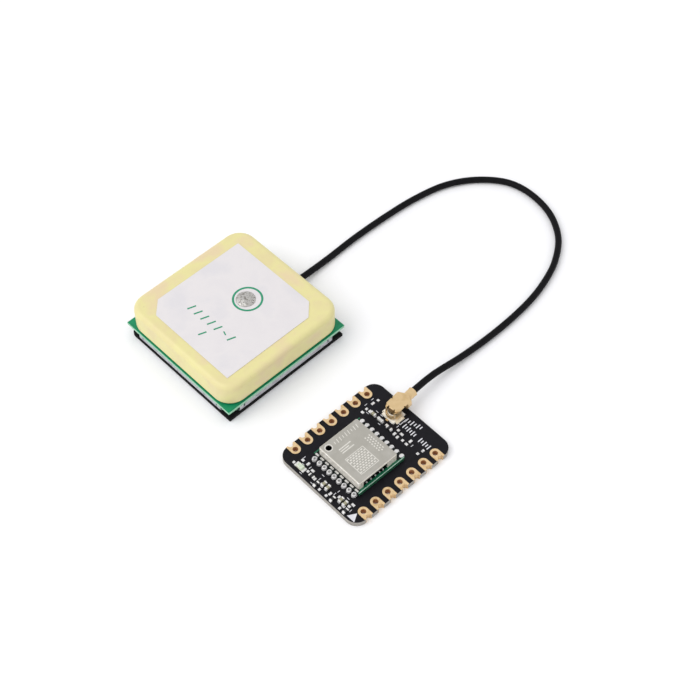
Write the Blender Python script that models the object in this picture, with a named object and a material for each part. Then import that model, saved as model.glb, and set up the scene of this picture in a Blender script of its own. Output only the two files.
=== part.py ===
"""Satellite receiver board with a ceramic patch antenna on a short coaxial lead.

Units are metres, +Z is up. The origin is the middle of the carrier board's pad rows, on its underside.
+X runs along the pad rows towards the coaxial connector, and +Y runs from the board towards the antenna.
Board and antenna both stand on the plane z = 0, and the lead lies between them.
"""

import math

import bmesh
import bpy
from mathutils import Matrix, Vector

# Clearance between pieces that are soldered, glued or seated on one another
CLEARANCE = 0.00003

# Plated edge pads, in two rows
PADS_PER_ROW = 7
PAD_PITCH = 0.00254
PAD_ROW_SPACING = 0.01524
PAD_TO_EDGE = 0.00123
PAD_WIDTH = 0.00168
PAD_HOLE_DIAMETER = 0.0009
PAD_NOTCH_DIAMETER = 0.0010
PAD_PLATING = 0.00006

# Carrier board: how far it runs past the last pads, and its own sizes
BOARD_REAR_MARGIN = 0.00268
BOARD_FRONT_MARGIN = 0.00288
BOARD_THICKNESS = 0.0010
BOARD_CORNER_RADIUS = 0.0020

# Receiver module, soldered down along two sides
MODULE_X = -0.0015
MODULE_Y = -0.0002
MODULE_LENGTH = 0.0097
MODULE_WIDTH = 0.0101
MODULE_BOARD_THICKNESS = 0.0008
JOINTS_PER_SIDE = 9
JOINT_ROW_MARGIN = 0.00065
JOINT_BASE_RADIUS = 0.00042
JOINT_TOP_RADIUS = 0.00024
JOINT_OUTSET = 0.00022
JOINT_HEIGHT = 0.0007

# Shield can of the receiver module, set in from each side of the module's board
MODULE_CAN_REAR_INSET = 0.0005
MODULE_CAN_FRONT_INSET = 0.0012
MODULE_CAN_LEFT_INSET = 0.000625
MODULE_CAN_RIGHT_INSET = 0.000425
MODULE_CAN_HEIGHT = 0.0016
MODULE_CAN_SHEET = 0.00018
MODULE_CAN_CORNER_RADIUS = 0.0003
MODULE_CAN_FOLD_RADIUS = 0.00016
VENT_DIAMETER = 0.0010
VENT_INSET = 0.0011
WINDOW_REAR_INSET = 0.0009
WINDOW_FRONT_INSET = 0.0021
WINDOW_LINTEL = 0.0005

# Parts under the receiver module's can
RECEIVER_CHIP_SIZE = 0.0040
RECEIVER_CHIP_THICKNESS = 0.0008
RECEIVER_CHIP_INSET = 0.0006
MODULE_PART_INSET = 0.0005
MODULE_PART_GAP = 0.0005
OSCILLATOR_LENGTH = 0.0016
OSCILLATOR_WIDTH = 0.0012
OSCILLATOR_THICKNESS = 0.0005
MODULE_FILTER_LENGTH = 0.0014
MODULE_FILTER_WIDTH = 0.0011
MODULE_FILTER_THICKNESS = 0.0005

# Chip capacitors, resistors and the inductor on the carrier board, set in from its rear or front edge
CHIP_PART_LENGTH = 0.0010
CHIP_PART_WIDTH = 0.00052
CAPACITOR_HEIGHT = 0.0005
RESISTOR_HEIGHT = 0.00034
TERMINAL_LENGTH = 0.00025
TERMINAL_LIP = 0.00003
REAR_BAND_INSET = 0.00155
REAR_PAIR_Y = (-0.00055, -0.00438)
REAR_PAIR_SPACING = 0.00086
REAR_EDGE_BAND_INSET = 0.00075
REAR_RESISTOR_Y = (0.00075, -0.0029, -0.00575)
CROSS_RESISTOR_INSET = 0.0012
CROSS_RESISTOR_Y = 0.00225
FRONT_BAND_INSET = 0.00488
FRONT_CAPACITOR_Y = 0.00411
FRONT_INDUCTOR_Y = 0.00246
FRONT_RESISTOR_Y = 0.0005

# Status light
LED_INSET = 0.00105
LED_Y = 0.00462
LED_LENGTH = 0.0020
LED_WIDTH = 0.0009
LED_BASE_THICKNESS = 0.00022
LED_LENS_LENGTH = 0.0012
LED_LENS_HEIGHT = 0.00036
LED_LENS_TAPER = 0.00008

# Coaxial connector, the half on the board
CONNECTOR_INSET = 0.0026
CONNECTOR_Y = 0.0019
SOCKET_SIZE = 0.0026
SOCKET_BASE_THICKNESS = 0.00036
SOCKET_RING_DIAMETER = 0.0020
SOCKET_RING_WALL = 0.0002
SOCKET_RING_TOP = 0.00125
SOCKET_ARM_WIDTH = 0.0017
SOCKET_ARM_THICKNESS = 0.00012
SOCKET_FOOT_REACH = 0.00024
SOCKET_PIN_DIAMETER = 0.0005
SOCKET_PIN_TOP = 0.00105
SOCKET_STRIP_WIDTH = 0.0005
SOCKET_STRIP_THICKNESS = 0.0001

# Coaxial connector, the half on the cable
PLUG_TURN = math.radians(6.0)
PLUG_RISE = 0.00115
PLUG_SHEET = 0.0002
PLUG_CAP_MARGIN = 0.00007
PLUG_CAP_CHAMFER = 0.00042
PLUG_CAP_SHIFT = 0.00055
PLUG_SKIRT_CLEARANCE = 0.00008
PLUG_SLOT_WIDTH = 0.00025
PLUG_SHOULDER_OVERLAP = 0.0001
PLUG_SHOULDER_LENGTH = 0.00085
PLUG_SHOULDER_MARGIN = 0.00015
PLUG_SHOULDER_DEPTH = 0.0014
PLUG_SHOULDER_ROUND = 0.0004
PLUG_TAPER_LENGTH = 0.0007
PLUG_BARREL_LENGTH = 0.0014
PLUG_BARREL_WALL = 0.00022
PLUG_BARREL_FLARE = 0.00007
PLUG_AXIS_DEPTH = 0.00108
PLUG_BORE_DEPTH = 0.0011
PLUG_CORE_BORE = 0.0006
PLUG_INSULATOR_GAP = 0.0003
PLUG_CONTACT_WALL = 0.00012
PLUG_TAIL_DIAMETER = 0.00022

# Coaxial cable
CABLE_DIAMETER = 0.00113
CABLE_POINT_SPACING = 0.0023
CABLE_BOARD_GAP = 0.00014
CABLE_FLOOR_GAP = 0.00006
CABLE_EXIT_Y = 0.0007
CABLE_INSIDE_LENGTH = 0.0022
CABLE_CORE_DIAMETER = 0.00055
CABLE_CORE_LENGTH = 0.0012

# Antenna, a stack of square layers. Each layer is set in from the sides of the antenna's board.
ANTENNA_X = 0.00084
ANTENNA_Y = 0.03149
ANTENNA_TURN = math.radians(0.9)
ANTENNA_BOARD_SIZE = 0.0250
ANTENNA_BOARD_THICKNESS = 0.00065
BASE_PAD_INSET = 0.0002
BASE_PAD_THICKNESS = 0.0006
BASE_PAD_SOFT_CORNER = 0.0012
ANTENNA_CAN_INSET = 0.0003
ANTENNA_CAN_SHEET = 0.0002
ANTENNA_CAN_FOLD_RADIUS = 0.0002
ANTENNA_CAN_CORNER_CUT = 0.0022
ANTENNA_CAN_SLIT = 0.00025
ANTENNA_CAN_TAB = 0.0008
ANTENNA_CAN_SLIT_FOOT = 0.0004
ANTENNA_CAN_NOTCH_CLEARANCE = 0.0001
TAPE_INSET = 0.0009
TAPE_THICKNESS = 0.00022
CERAMIC_INSET = 0.00015
CERAMIC_THICKNESS = 0.0043
CERAMIC_CORNER_RADIUS = 0.0032
CERAMIC_EDGE_RADIUS = 0.0009
CERAMIC_FOOT_RADIUS = 0.0003
ELECTRODE_MARGIN = 0.0026
ELECTRODE_THICKNESS = 0.00005
ELECTRODE_CORNER_CUT = 0.0023
ELECTRODE_SHIFT = (-0.00048, -0.00025)
FEED_X = 0.0023
FEED_Y = -0.0003
FEED_HEAD_DIAMETER = 0.0029
FEED_HEAD_HEIGHT = 0.0004
FEED_HEAD_EDGE = 0.00008
FEED_SHANK_DIAMETER = 0.0009
FEED_HOLE_CLEARANCE = 0.00012
FEED_TAIL = 0.0004

# Amplifier parts on the underside of the antenna board
AMPLIFIER_SIZE = 0.0016
AMPLIFIER_THICKNESS = 0.0006
AMPLIFIER_X = 0.0056
AMPLIFIER_Y = -0.0034
ANTENNA_FILTER_LENGTH = 0.0014
ANTENNA_FILTER_WIDTH = 0.0011
ANTENNA_FILTER_THICKNESS = 0.0005
ANTENNA_FILTER_Y = -0.0058
AMPLIFIER_ROW_X = 0.0030
AMPLIFIER_ROW_PITCH = 0.0012
BRAID_JOINT_LENGTH = 0.0010
BRAID_JOINT_WALL = 0.00035
BRAID_JOINT_DEPTH = 0.0008

# The middle of the cable, from the antenna round to the plug: x, y, and how far it is lifted off the table
CABLE_ROUTE = (
    (0.0168, 0.0325, 0.00045),
    (0.0225, 0.03285, 0.0),
    (0.0294, 0.03315, 0.0),
    (0.0367, 0.03305, 0.0),
    (0.0428, 0.0326, 0.0),
    (0.0487, 0.0314, 0.0),
    (0.0534, 0.02895, 0.0),
    (0.0570, 0.02535, 0.0),
    (0.0585, 0.0218, 0.0),
    (0.05855, 0.0174, 0.0),
    (0.0573, 0.0131, 0.0),
    (0.0545, 0.0091, 0.0),
    (0.0506, 0.00625, 0.0),
    (0.0468, 0.0046, 0.0),
    (0.0421, 0.00335, 0.0),
    (0.0368, 0.0027, 0.0),
    (0.0306, 0.0025, 0.0),
    (0.0242, 0.00265, 0.00025),
    (0.0178, 0.0028, 0.0012),
)

# Carrier board's outline, from its pads
BOARD_REAR = -(PADS_PER_ROW - 1) / 2 * PAD_PITCH - BOARD_REAR_MARGIN
BOARD_FRONT = (PADS_PER_ROW - 1) / 2 * PAD_PITCH + BOARD_FRONT_MARGIN
BOARD_WIDTH = PAD_ROW_SPACING + 2 * PAD_TO_EDGE
BOARD_SEAT = BOARD_THICKNESS + CLEARANCE

# Receiver module's can and joints, from its board
MODULE_SEAT = BOARD_SEAT + MODULE_BOARD_THICKNESS + CLEARANCE
MODULE_CAN_LENGTH = MODULE_LENGTH - MODULE_CAN_REAR_INSET - MODULE_CAN_FRONT_INSET
MODULE_CAN_WIDTH = MODULE_WIDTH - MODULE_CAN_LEFT_INSET - MODULE_CAN_RIGHT_INSET
MODULE_CAN_X = MODULE_X + (MODULE_CAN_REAR_INSET - MODULE_CAN_FRONT_INSET) / 2
MODULE_CAN_Y = MODULE_Y + (MODULE_CAN_RIGHT_INSET - MODULE_CAN_LEFT_INSET) / 2
JOINT_PITCH = (MODULE_WIDTH - 2 * JOINT_ROW_MARGIN) / (JOINTS_PER_SIDE - 1)

# Plug, from the socket it grips. Its heights are counted from the carrier board's top.
PLUG_TOP = SOCKET_RING_TOP + PLUG_RISE
PLUG_AXIS = PLUG_TOP - PLUG_AXIS_DEPTH
PLUG_SKIRT_INNER = SOCKET_RING_DIAMETER / 2 + PLUG_SKIRT_CLEARANCE
PLUG_CAP_SIZE = 2 * (PLUG_SKIRT_INNER + PLUG_SHEET + PLUG_CAP_MARGIN)
PLUG_SHOULDER_START = PLUG_CAP_SHIFT + PLUG_CAP_SIZE / 2 - PLUG_SHOULDER_OVERLAP
PLUG_SHOULDER_END = PLUG_SHOULDER_START + PLUG_SHOULDER_LENGTH
PLUG_BARREL_START = PLUG_SHOULDER_END + PLUG_TAPER_LENGTH
PLUG_BARREL_END = PLUG_BARREL_START + PLUG_BARREL_LENGTH
PLUG_BORE_END = PLUG_BARREL_END - PLUG_BORE_DEPTH

# Antenna's layers, from its board and its cable
BASE_PAD_SIZE = ANTENNA_BOARD_SIZE - 2 * BASE_PAD_INSET
ANTENNA_CAN_SIZE = ANTENNA_BOARD_SIZE - 2 * ANTENNA_CAN_INSET
TAPE_SIZE = ANTENNA_BOARD_SIZE - 2 * TAPE_INSET
CERAMIC_SIZE = ANTENNA_BOARD_SIZE - 2 * CERAMIC_INSET
ELECTRODE_SIZE = CERAMIC_SIZE - 2 * ELECTRODE_MARGIN
ANTENNA_CAN_SEAT = BASE_PAD_THICKNESS + CLEARANCE
ANTENNA_CAN_FLOOR = ANTENNA_CAN_SEAT + ANTENNA_CAN_SHEET
ANTENNA_CABLE_AXIS = ANTENNA_CAN_FLOOR + CABLE_FLOOR_GAP + CABLE_DIAMETER / 2
ANTENNA_BOARD_SEAT = ANTENNA_CABLE_AXIS + CABLE_DIAMETER / 2 + CABLE_BOARD_GAP
ANTENNA_CAN_RIM = ANTENNA_BOARD_SEAT - CLEARANCE
TAPE_SEAT = ANTENNA_BOARD_SEAT + ANTENNA_BOARD_THICKNESS + CLEARANCE
CERAMIC_SEAT = TAPE_SEAT + TAPE_THICKNESS + CLEARANCE
ELECTRODE_SEAT = CERAMIC_SEAT + CERAMIC_THICKNESS + CLEARANCE
FEED_SEAT = ELECTRODE_SEAT + ELECTRODE_THICKNESS + CLEARANCE

# How far a cutting shape runs past what it cuts, and the facets of a small and of a large circle
PAST = 0.0005
SMALL_CIRCLE = 12
LARGE_CIRCLE = 24

CORNERS = ((1, 1), (-1, 1), (-1, -1), (1, -1))


def clear_scene():
    for obj in list(bpy.data.objects):
        bpy.data.objects.remove(obj, do_unlink=True)


def make_material(name, colour, roughness, metallic=0.0):
    made = bpy.data.materials.new(name)
    made.use_nodes = True
    shader = made.node_tree.nodes["Principled BSDF"]
    shader.inputs["Base Color"].default_value = (*colour, 1.0)
    shader.inputs["Roughness"].default_value = roughness
    shader.inputs["Metallic"].default_value = metallic
    return made


# Outlines, as lists of points that run anticlockwise


def rectangle(length, width, middle=(0.0, 0.0)):
    return [(middle[0] + sx * length / 2, middle[1] + sy * width / 2) for sx, sy in CORNERS]


def rounded_rectangle(length, width, radius, steps=4):
    radius = min(radius, length / 2, width / 2)
    points = []
    for turn, (sx, sy) in enumerate(CORNERS):
        for step in range(steps + 1):
            angle = math.pi / 2 * (turn + step / steps)
            x = sx * (length / 2 - radius) + radius * math.cos(angle)
            y = sy * (width / 2 - radius) + radius * math.sin(angle)
            points.append((x, y))
    return points


def cut_square(length, width, cut, corners, middle=(0.0, 0.0)):
    """A rectangle with some corners cut off at 45 degrees, counted anticlockwise from (+x, +y)."""
    points = []
    for corner, (sx, sy) in enumerate(CORNERS):
        x = middle[0] + sx * length / 2
        y = middle[1] + sy * width / 2
        ends = [(x, y)]
        if corner in corners:
            ends = [(x, y - sy * cut), (x - sx * cut, y)]
        points += ends if sx * sy > 0 else ends[::-1]
    return points


def level(outline, height):
    return [(x, y, height) for x, y in outline]


# Solids, as bmeshes. Each function adds its shape to the bmesh it is given, or to a new one.


def loft(rings, bm=None):
    """One closed body through rings of points: each ring is bridged to the next, and both ends are filled."""
    bm = bm or bmesh.new()
    loops = []
    for ring in rings:
        verts = [bm.verts.new(point) for point in ring]
        loops.append([bm.edges.new((verts[i - 1], verts[i])) for i in range(len(verts))])
    faces = []
    for low, high in zip(loops, loops[1:]):
        faces += bmesh.ops.bridge_loops(bm, edges=low + high)["faces"]
    for end in (loops[0], loops[-1]):
        faces += bmesh.ops.edgeloop_fill(bm, edges=end)["faces"]
    bmesh.ops.recalc_face_normals(bm, faces=faces)
    return bm


def prism(outline, low, high, bm=None):
    return loft([level(outline, low), level(outline, high)], bm)


def block(x, y, z, bm=None):
    """A box between two limits along each axis."""
    outline = rectangle(x[1] - x[0], y[1] - y[0], ((x[0] + x[1]) / 2, (y[0] + y[1]) / 2))
    return prism(outline, z[0], z[1], bm)


def cylinder(diameter, low, high, middle=(0.0, 0.0), bm=None, facets=SMALL_CIRCLE, top=None):
    """An upright cylinder, or a cone frustum where its top has a diameter of its own."""
    bm = bm or bmesh.new()
    bmesh.ops.create_cone(
        bm,
        cap_ends=True,
        segments=facets,
        radius1=diameter / 2,
        radius2=(diameter if top is None else top) / 2,
        depth=high - low,
        matrix=Matrix.Translation((*middle, (low + high) / 2)),
    )
    return bm


def rod(diameter, start, end, y, z, bm=None, facets=LARGE_CIRCLE):
    """A cylinder that lies along X."""
    bm = bm or bmesh.new()
    place = Matrix.Translation(((start + end) / 2, y, z)) @ Matrix.Rotation(math.pi / 2, 4, "Y")
    bmesh.ops.create_cone(
        bm,
        cap_ends=True,
        segments=facets,
        radius1=diameter / 2,
        radius2=diameter / 2,
        depth=abs(end - start),
        matrix=place,
    )
    return bm


def turned(profile, closed, facets=LARGE_CIRCLE):
    """A body turned round Z from (radius, height) points. An open profile starts and ends on the axis."""
    bm = bmesh.new()
    verts = [bm.verts.new((radius, 0.0, height)) for radius, height in profile]
    edges = [bm.edges.new(pair) for pair in zip(verts, verts[1:])]
    if closed:
        edges.append(bm.edges.new((verts[-1], verts[0])))
    bmesh.ops.spin(
        bm,
        geom=verts + edges,
        axis=(0.0, 0.0, 1.0),
        cent=(0.0, 0.0, 0.0),
        angle=2 * math.pi,
        steps=facets,
        use_merge=True,
    )
    bmesh.ops.remove_doubles(bm, verts=bm.verts, dist=1e-7)
    bmesh.ops.recalc_face_normals(bm, faces=bm.faces)
    return bm


# Objects and modifiers


def add_object(name, bm, finish=None, parent=None, location=(0.0, 0.0, 0.0), turn=0.0):
    mesh = bpy.data.meshes.new(name)
    bm.to_mesh(mesh)
    bm.free()
    return place_mesh(name, mesh, finish, parent, location, turn)


def place_mesh(name, mesh, finish=None, parent=None, location=(0.0, 0.0, 0.0), turn=0.0):
    obj = bpy.data.objects.new(name, mesh)
    bpy.context.scene.collection.objects.link(obj)
    obj.parent = parent
    obj.location = location
    obj.rotation_euler = (0.0, 0.0, turn)
    if finish is not None and not mesh.materials:
        mesh.materials.append(finish)
    return obj


def combine(obj, operation, name, bm):
    """Adds a Boolean whose other shape is a hidden helper under the same parent."""
    helper = add_object(name, bm, parent=obj.parent, location=obj.location, turn=obj.rotation_euler.z)
    helper.hide_render = True
    helper.display_type = "WIRE"
    step = obj.modifiers.new(name, "BOOLEAN")
    step.operation = operation
    step.solver = "EXACT"
    step.object = helper


def cut(obj, name, bm):
    combine(obj, "DIFFERENCE", name, bm)


def fuse(obj, name, bm):
    combine(obj, "UNION", name, bm)


def smooth(obj, angle=35.0):
    obj.data.shade_smooth()
    obj.data.set_sharp_from_angle(angle=math.radians(angle))


def add_frame(name, x, y, z, turn=0.0):
    frame = bpy.data.objects.new(name, None)
    bpy.context.scene.collection.objects.link(frame)
    frame.location = (x, y, z)
    frame.rotation_euler = (0.0, 0.0, turn)
    return frame


def frame_point(frame, x, y, z):
    """Where a point of a frame lies in the world."""
    return frame.location + Matrix.Rotation(frame.rotation_euler.z, 3, "Z") @ Vector((x, y, z))


# Carrier board with its plated edge pads


def pad_outline(growth=0.0):
    """A pad's land from above: round at the inner end, square at the board's edge, its hole at the origin."""
    radius = PAD_WIDTH / 2 + growth
    steps = SMALL_CIRCLE // 2
    arc = [math.pi * (1 + step / steps) for step in range(steps + 1)]
    round_end = [(radius * math.cos(angle), radius * math.sin(angle)) for angle in arc]
    return [(-radius, PAD_TO_EDGE), *round_end, (radius, PAD_TO_EDGE)]


def notch_outline(radius):
    steps = SMALL_CIRCLE // 2
    arc = [math.pi * (1 + step / steps) for step in range(steps + 1)]
    return [(radius * math.cos(angle), PAD_TO_EDGE + radius * math.sin(angle)) for angle in arc]


def pad_places():
    """(row name, number, x, y, turn) of each pad."""
    for row, side, turn in (("left", 1, 0.0), ("right", -1, math.pi)):
        for number in range(PADS_PER_ROW):
            x = (number - (PADS_PER_ROW - 1) / 2) * PAD_PITCH
            yield row, number + 1, x, side * PAD_ROW_SPACING / 2, turn


def at_pads(shape):
    """The same bmesh shape at every pad, in one bmesh."""
    bm = bmesh.new()
    for _, _, x, y, turn in pad_places():
        before = set(bm.verts)
        shape(bm)
        new = [vert for vert in bm.verts if vert not in before]
        bmesh.ops.transform(
            bm, matrix=Matrix.Translation((x, y, 0.0)) @ Matrix.Rotation(turn, 4, "Z"), verts=new
        )
    return bm


def make_carrier_board(finish):
    wall = PAD_PLATING + CLEARANCE
    outline = rounded_rectangle(BOARD_FRONT - BOARD_REAR, BOARD_WIDTH, BOARD_CORNER_RADIUS, steps=5)
    middle = (BOARD_FRONT + BOARD_REAR) / 2
    shifted = [(x + middle, y) for x, y in outline]
    board = add_object("carrier_board", prism(shifted, 0.0, BOARD_THICKNESS), finish)
    low, high = -PAST, BOARD_THICKNESS + PAST
    hole = PAD_HOLE_DIAMETER + 2 * wall
    notch = PAD_NOTCH_DIAMETER + 2 * wall
    cut(board, "board_holes", at_pads(lambda bm: cylinder(hole, low, high, bm=bm)))
    cut(board, "board_notches", at_pads(lambda bm: cylinder(notch, low, high, (0.0, PAD_TO_EDGE), bm)))
    recess = [(x, y + (PAST if y == PAD_TO_EDGE else 0.0)) for x, y in pad_outline(CLEARANCE)]
    cut(board, "board_recesses", at_pads(lambda bm: prism(recess, low, wall, bm)))
    return board


def make_edge_pads(finish):
    """Fourteen castellated pads: a land above and below, a plated hole and a plated half hole at the edge."""
    top = BOARD_SEAT + PAD_PLATING
    barrel = (PAD_PLATING / 2, BOARD_SEAT + PAD_PLATING / 2)
    pattern = add_object("pad_pattern", prism(pad_outline(), BOARD_SEAT, top))
    fuse(pattern, "lower_land", prism(pad_outline(), 0.0, PAD_PLATING))
    fuse(pattern, "hole_plating", cylinder(PAD_HOLE_DIAMETER + 2 * PAD_PLATING, *barrel))
    fuse(pattern, "notch_plating", prism(notch_outline(PAD_NOTCH_DIAMETER / 2 + PAD_PLATING), *barrel))
    cut(pattern, "pad_hole", cylinder(PAD_HOLE_DIAMETER, -PAST, top + PAST))
    cut(pattern, "pad_notch", cylinder(PAD_NOTCH_DIAMETER, -PAST, top + PAST, (0.0, PAD_TO_EDGE)))
    graph = bpy.context.evaluated_depsgraph_get()
    mesh = bpy.data.meshes.new_from_object(pattern.evaluated_get(graph))
    mesh.name = "edge_pad"
    for obj in [pattern] + [step.object for step in pattern.modifiers]:
        bpy.data.objects.remove(obj, do_unlink=True)
    mesh.materials.clear()
    for row, number, x, y, turn in pad_places():
        place_mesh(f"{row}_pad_{number}", mesh, finish, location=(x, y, 0.0), turn=turn)


# Receiver module


def make_module_board(finish):
    """The module's own board, with the eighteen solder joints that hold it to the carrier fused to its sides."""
    outline = rectangle(MODULE_LENGTH, MODULE_WIDTH, (MODULE_X, MODULE_Y))
    top = BOARD_SEAT + MODULE_BOARD_THICKNESS
    board = add_object("module_board", prism(outline, BOARD_SEAT, top), finish)
    joints = bmesh.new()
    for side in (-1, 1):
        x = MODULE_X + side * (MODULE_LENGTH / 2 + JOINT_OUTSET)
        for number in range(JOINTS_PER_SIDE):
            y = MODULE_Y + (number - (JOINTS_PER_SIDE - 1) / 2) * JOINT_PITCH
            cylinder(
                2 * JOINT_BASE_RADIUS,
                BOARD_SEAT,
                BOARD_SEAT + JOINT_HEIGHT,
                (x, y),
                joints,
                top=2 * JOINT_TOP_RADIUS,
            )
    fuse(board, "solder_joints", joints)


def make_module_can(finish):
    """A drawn can with folded top edges, a vent hole, and a window in its right-hand wall."""
    middle = (MODULE_CAN_X, MODULE_CAN_Y, 0.0)
    top = MODULE_SEAT + MODULE_CAN_HEIGHT
    sheet = MODULE_CAN_SHEET
    fold = MODULE_CAN_FOLD_RADIUS

    def ring(inset, height):
        outline = rounded_rectangle(
            MODULE_CAN_LENGTH - 2 * inset,
            MODULE_CAN_WIDTH - 2 * inset,
            max(MODULE_CAN_CORNER_RADIUS - inset, CLEARANCE),
            steps=3,
        )
        return level(outline, height)

    shell = loft([
        ring(0.0, MODULE_SEAT),
        ring(0.0, top - fold),
        ring(0.3 * fold, top - 0.3 * fold),
        ring(fold, top),
    ])
    can = add_object("module_can", shell, finish, location=middle)
    cut(can, "module_can_inside", loft([ring(sheet, MODULE_SEAT - PAST), ring(sheet, top - sheet)]))
    vent = (VENT_INSET - MODULE_CAN_LENGTH / 2, MODULE_CAN_WIDTH / 2 - VENT_INSET)
    cut(can, "module_vent", cylinder(VENT_DIAMETER, top - sheet - PAST, top + PAST, vent, facets=LARGE_CIRCLE))
    end = MODULE_CAN_LENGTH / 2
    wall = -MODULE_CAN_WIDTH / 2
    window = block(
        (WINDOW_REAR_INSET - end, end - WINDOW_FRONT_INSET),
        (wall - PAST, wall + sheet + PAST),
        (MODULE_SEAT - PAST, top - WINDOW_LINTEL),
    )
    cut(can, "module_window", window)
    smooth(can)


def make_module_parts(chip_finish, metal_finish, filter_finish):
    """The receiver chip, its oscillator and its input filter, in the corners of the can."""
    half_x = MODULE_CAN_LENGTH / 2 - MODULE_CAN_SHEET
    half_y = MODULE_CAN_WIDTH / 2 - MODULE_CAN_SHEET

    def add_body(name, size, x, y, finish):
        """A body of a length, a width and a thickness, in the can's own frame."""
        length, width, thickness = size
        outline = rectangle(length, width, (MODULE_CAN_X + x, MODULE_CAN_Y + y))
        add_object(name, prism(outline, MODULE_SEAT, MODULE_SEAT + thickness), finish)

    chip = (RECEIVER_CHIP_SIZE, RECEIVER_CHIP_SIZE, RECEIVER_CHIP_THICKNESS)
    in_corner = RECEIVER_CHIP_INSET + RECEIVER_CHIP_SIZE / 2
    add_body("receiver_chip", chip, half_x - in_corner, half_y - in_corner, chip_finish)
    start_x = MODULE_PART_INSET - half_x
    start_y = MODULE_PART_INSET - half_y
    crystal = (OSCILLATOR_LENGTH, OSCILLATOR_WIDTH, OSCILLATOR_THICKNESS)
    x = start_x + OSCILLATOR_LENGTH / 2
    add_body("oscillator", crystal, x, start_y + OSCILLATOR_WIDTH / 2, metal_finish)
    start_y += OSCILLATOR_WIDTH + MODULE_PART_GAP
    filter_size = (MODULE_FILTER_LENGTH, MODULE_FILTER_WIDTH, MODULE_FILTER_THICKNESS)
    x = start_x + MODULE_FILTER_LENGTH / 2
    add_body("module_filter", filter_size, x, start_y + MODULE_FILTER_WIDTH / 2, filter_finish)


# Small parts on the carrier board


def chip_part(name, height, finish, x, y, across=False, seat=BOARD_SEAT, length=CHIP_PART_LENGTH,
              width=CHIP_PART_WIDTH, parent=None, hanging=False):
    """A chip capacitor, resistor or inductor: a ceramic body between two slightly thicker terminals."""
    low = -height if hanging else 0.0

    def ring(station, lip):
        half = width / 2 - lip
        return [(station, sy * half, z) for sy, z in ((1, low + height - lip), (-1, low + height - lip),
                                                      (-1, low + lip), (1, low + lip))]

    end = length / 2
    inner = end - TERMINAL_LENGTH
    rings = [ring(-end, 0.0), ring(-inner, 0.0), ring(-inner, TERMINAL_LIP),
             ring(inner, TERMINAL_LIP), ring(inner, 0.0), ring(end, 0.0)]
    turn = math.pi / 2 if across else 0.0
    return add_object(name, loft(rings), finish, parent, (x, y, seat), turn)


def make_small_parts(capacitor_finish, resistor_finish, inductor_finish):
    front = BOARD_FRONT - FRONT_BAND_INSET
    rear = BOARD_REAR + REAR_BAND_INSET
    edge = BOARD_REAR + REAR_EDGE_BAND_INSET
    number = 0
    for middle in REAR_PAIR_Y:
        for side in (1, -1):
            number += 1
            y = middle + side * REAR_PAIR_SPACING / 2
            chip_part(f"capacitor_{number}", CAPACITOR_HEIGHT, capacitor_finish, rear, y)
    chip_part("capacitor_5", CAPACITOR_HEIGHT, capacitor_finish, front, FRONT_CAPACITOR_Y, across=True)
    for number, y in enumerate(REAR_RESISTOR_Y, start=1):
        chip_part(f"resistor_{number}", RESISTOR_HEIGHT, resistor_finish, edge, y)
    cross = BOARD_REAR + CROSS_RESISTOR_INSET
    chip_part("resistor_4", RESISTOR_HEIGHT, resistor_finish, cross, CROSS_RESISTOR_Y, across=True)
    chip_part("resistor_5", RESISTOR_HEIGHT, resistor_finish, front, FRONT_RESISTOR_Y, across=True)
    chip_part("inductor", CAPACITOR_HEIGHT, inductor_finish, front, FRONT_INDUCTOR_Y, across=True)


def make_status_light(base_finish, lens_finish):
    x = BOARD_REAR + LED_INSET
    chip_part("led_base", LED_BASE_THICKNESS, base_finish, x, LED_Y, across=True,
              length=LED_LENGTH, width=LED_WIDTH)
    width = LED_WIDTH - 2 * TERMINAL_LIP
    seat = BOARD_SEAT + LED_BASE_THICKNESS + CLEARANCE
    top = (width - 2 * LED_LENS_TAPER, LED_LENS_LENGTH - 2 * LED_LENS_TAPER)
    lens = loft([level(rectangle(width, LED_LENS_LENGTH), 0.0), level(rectangle(*top), LED_LENS_HEIGHT)])
    add_object("led_lens", lens, lens_finish, location=(x, LED_Y, seat))


# Coaxial connector. Its heights are counted from the board's top.


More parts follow.
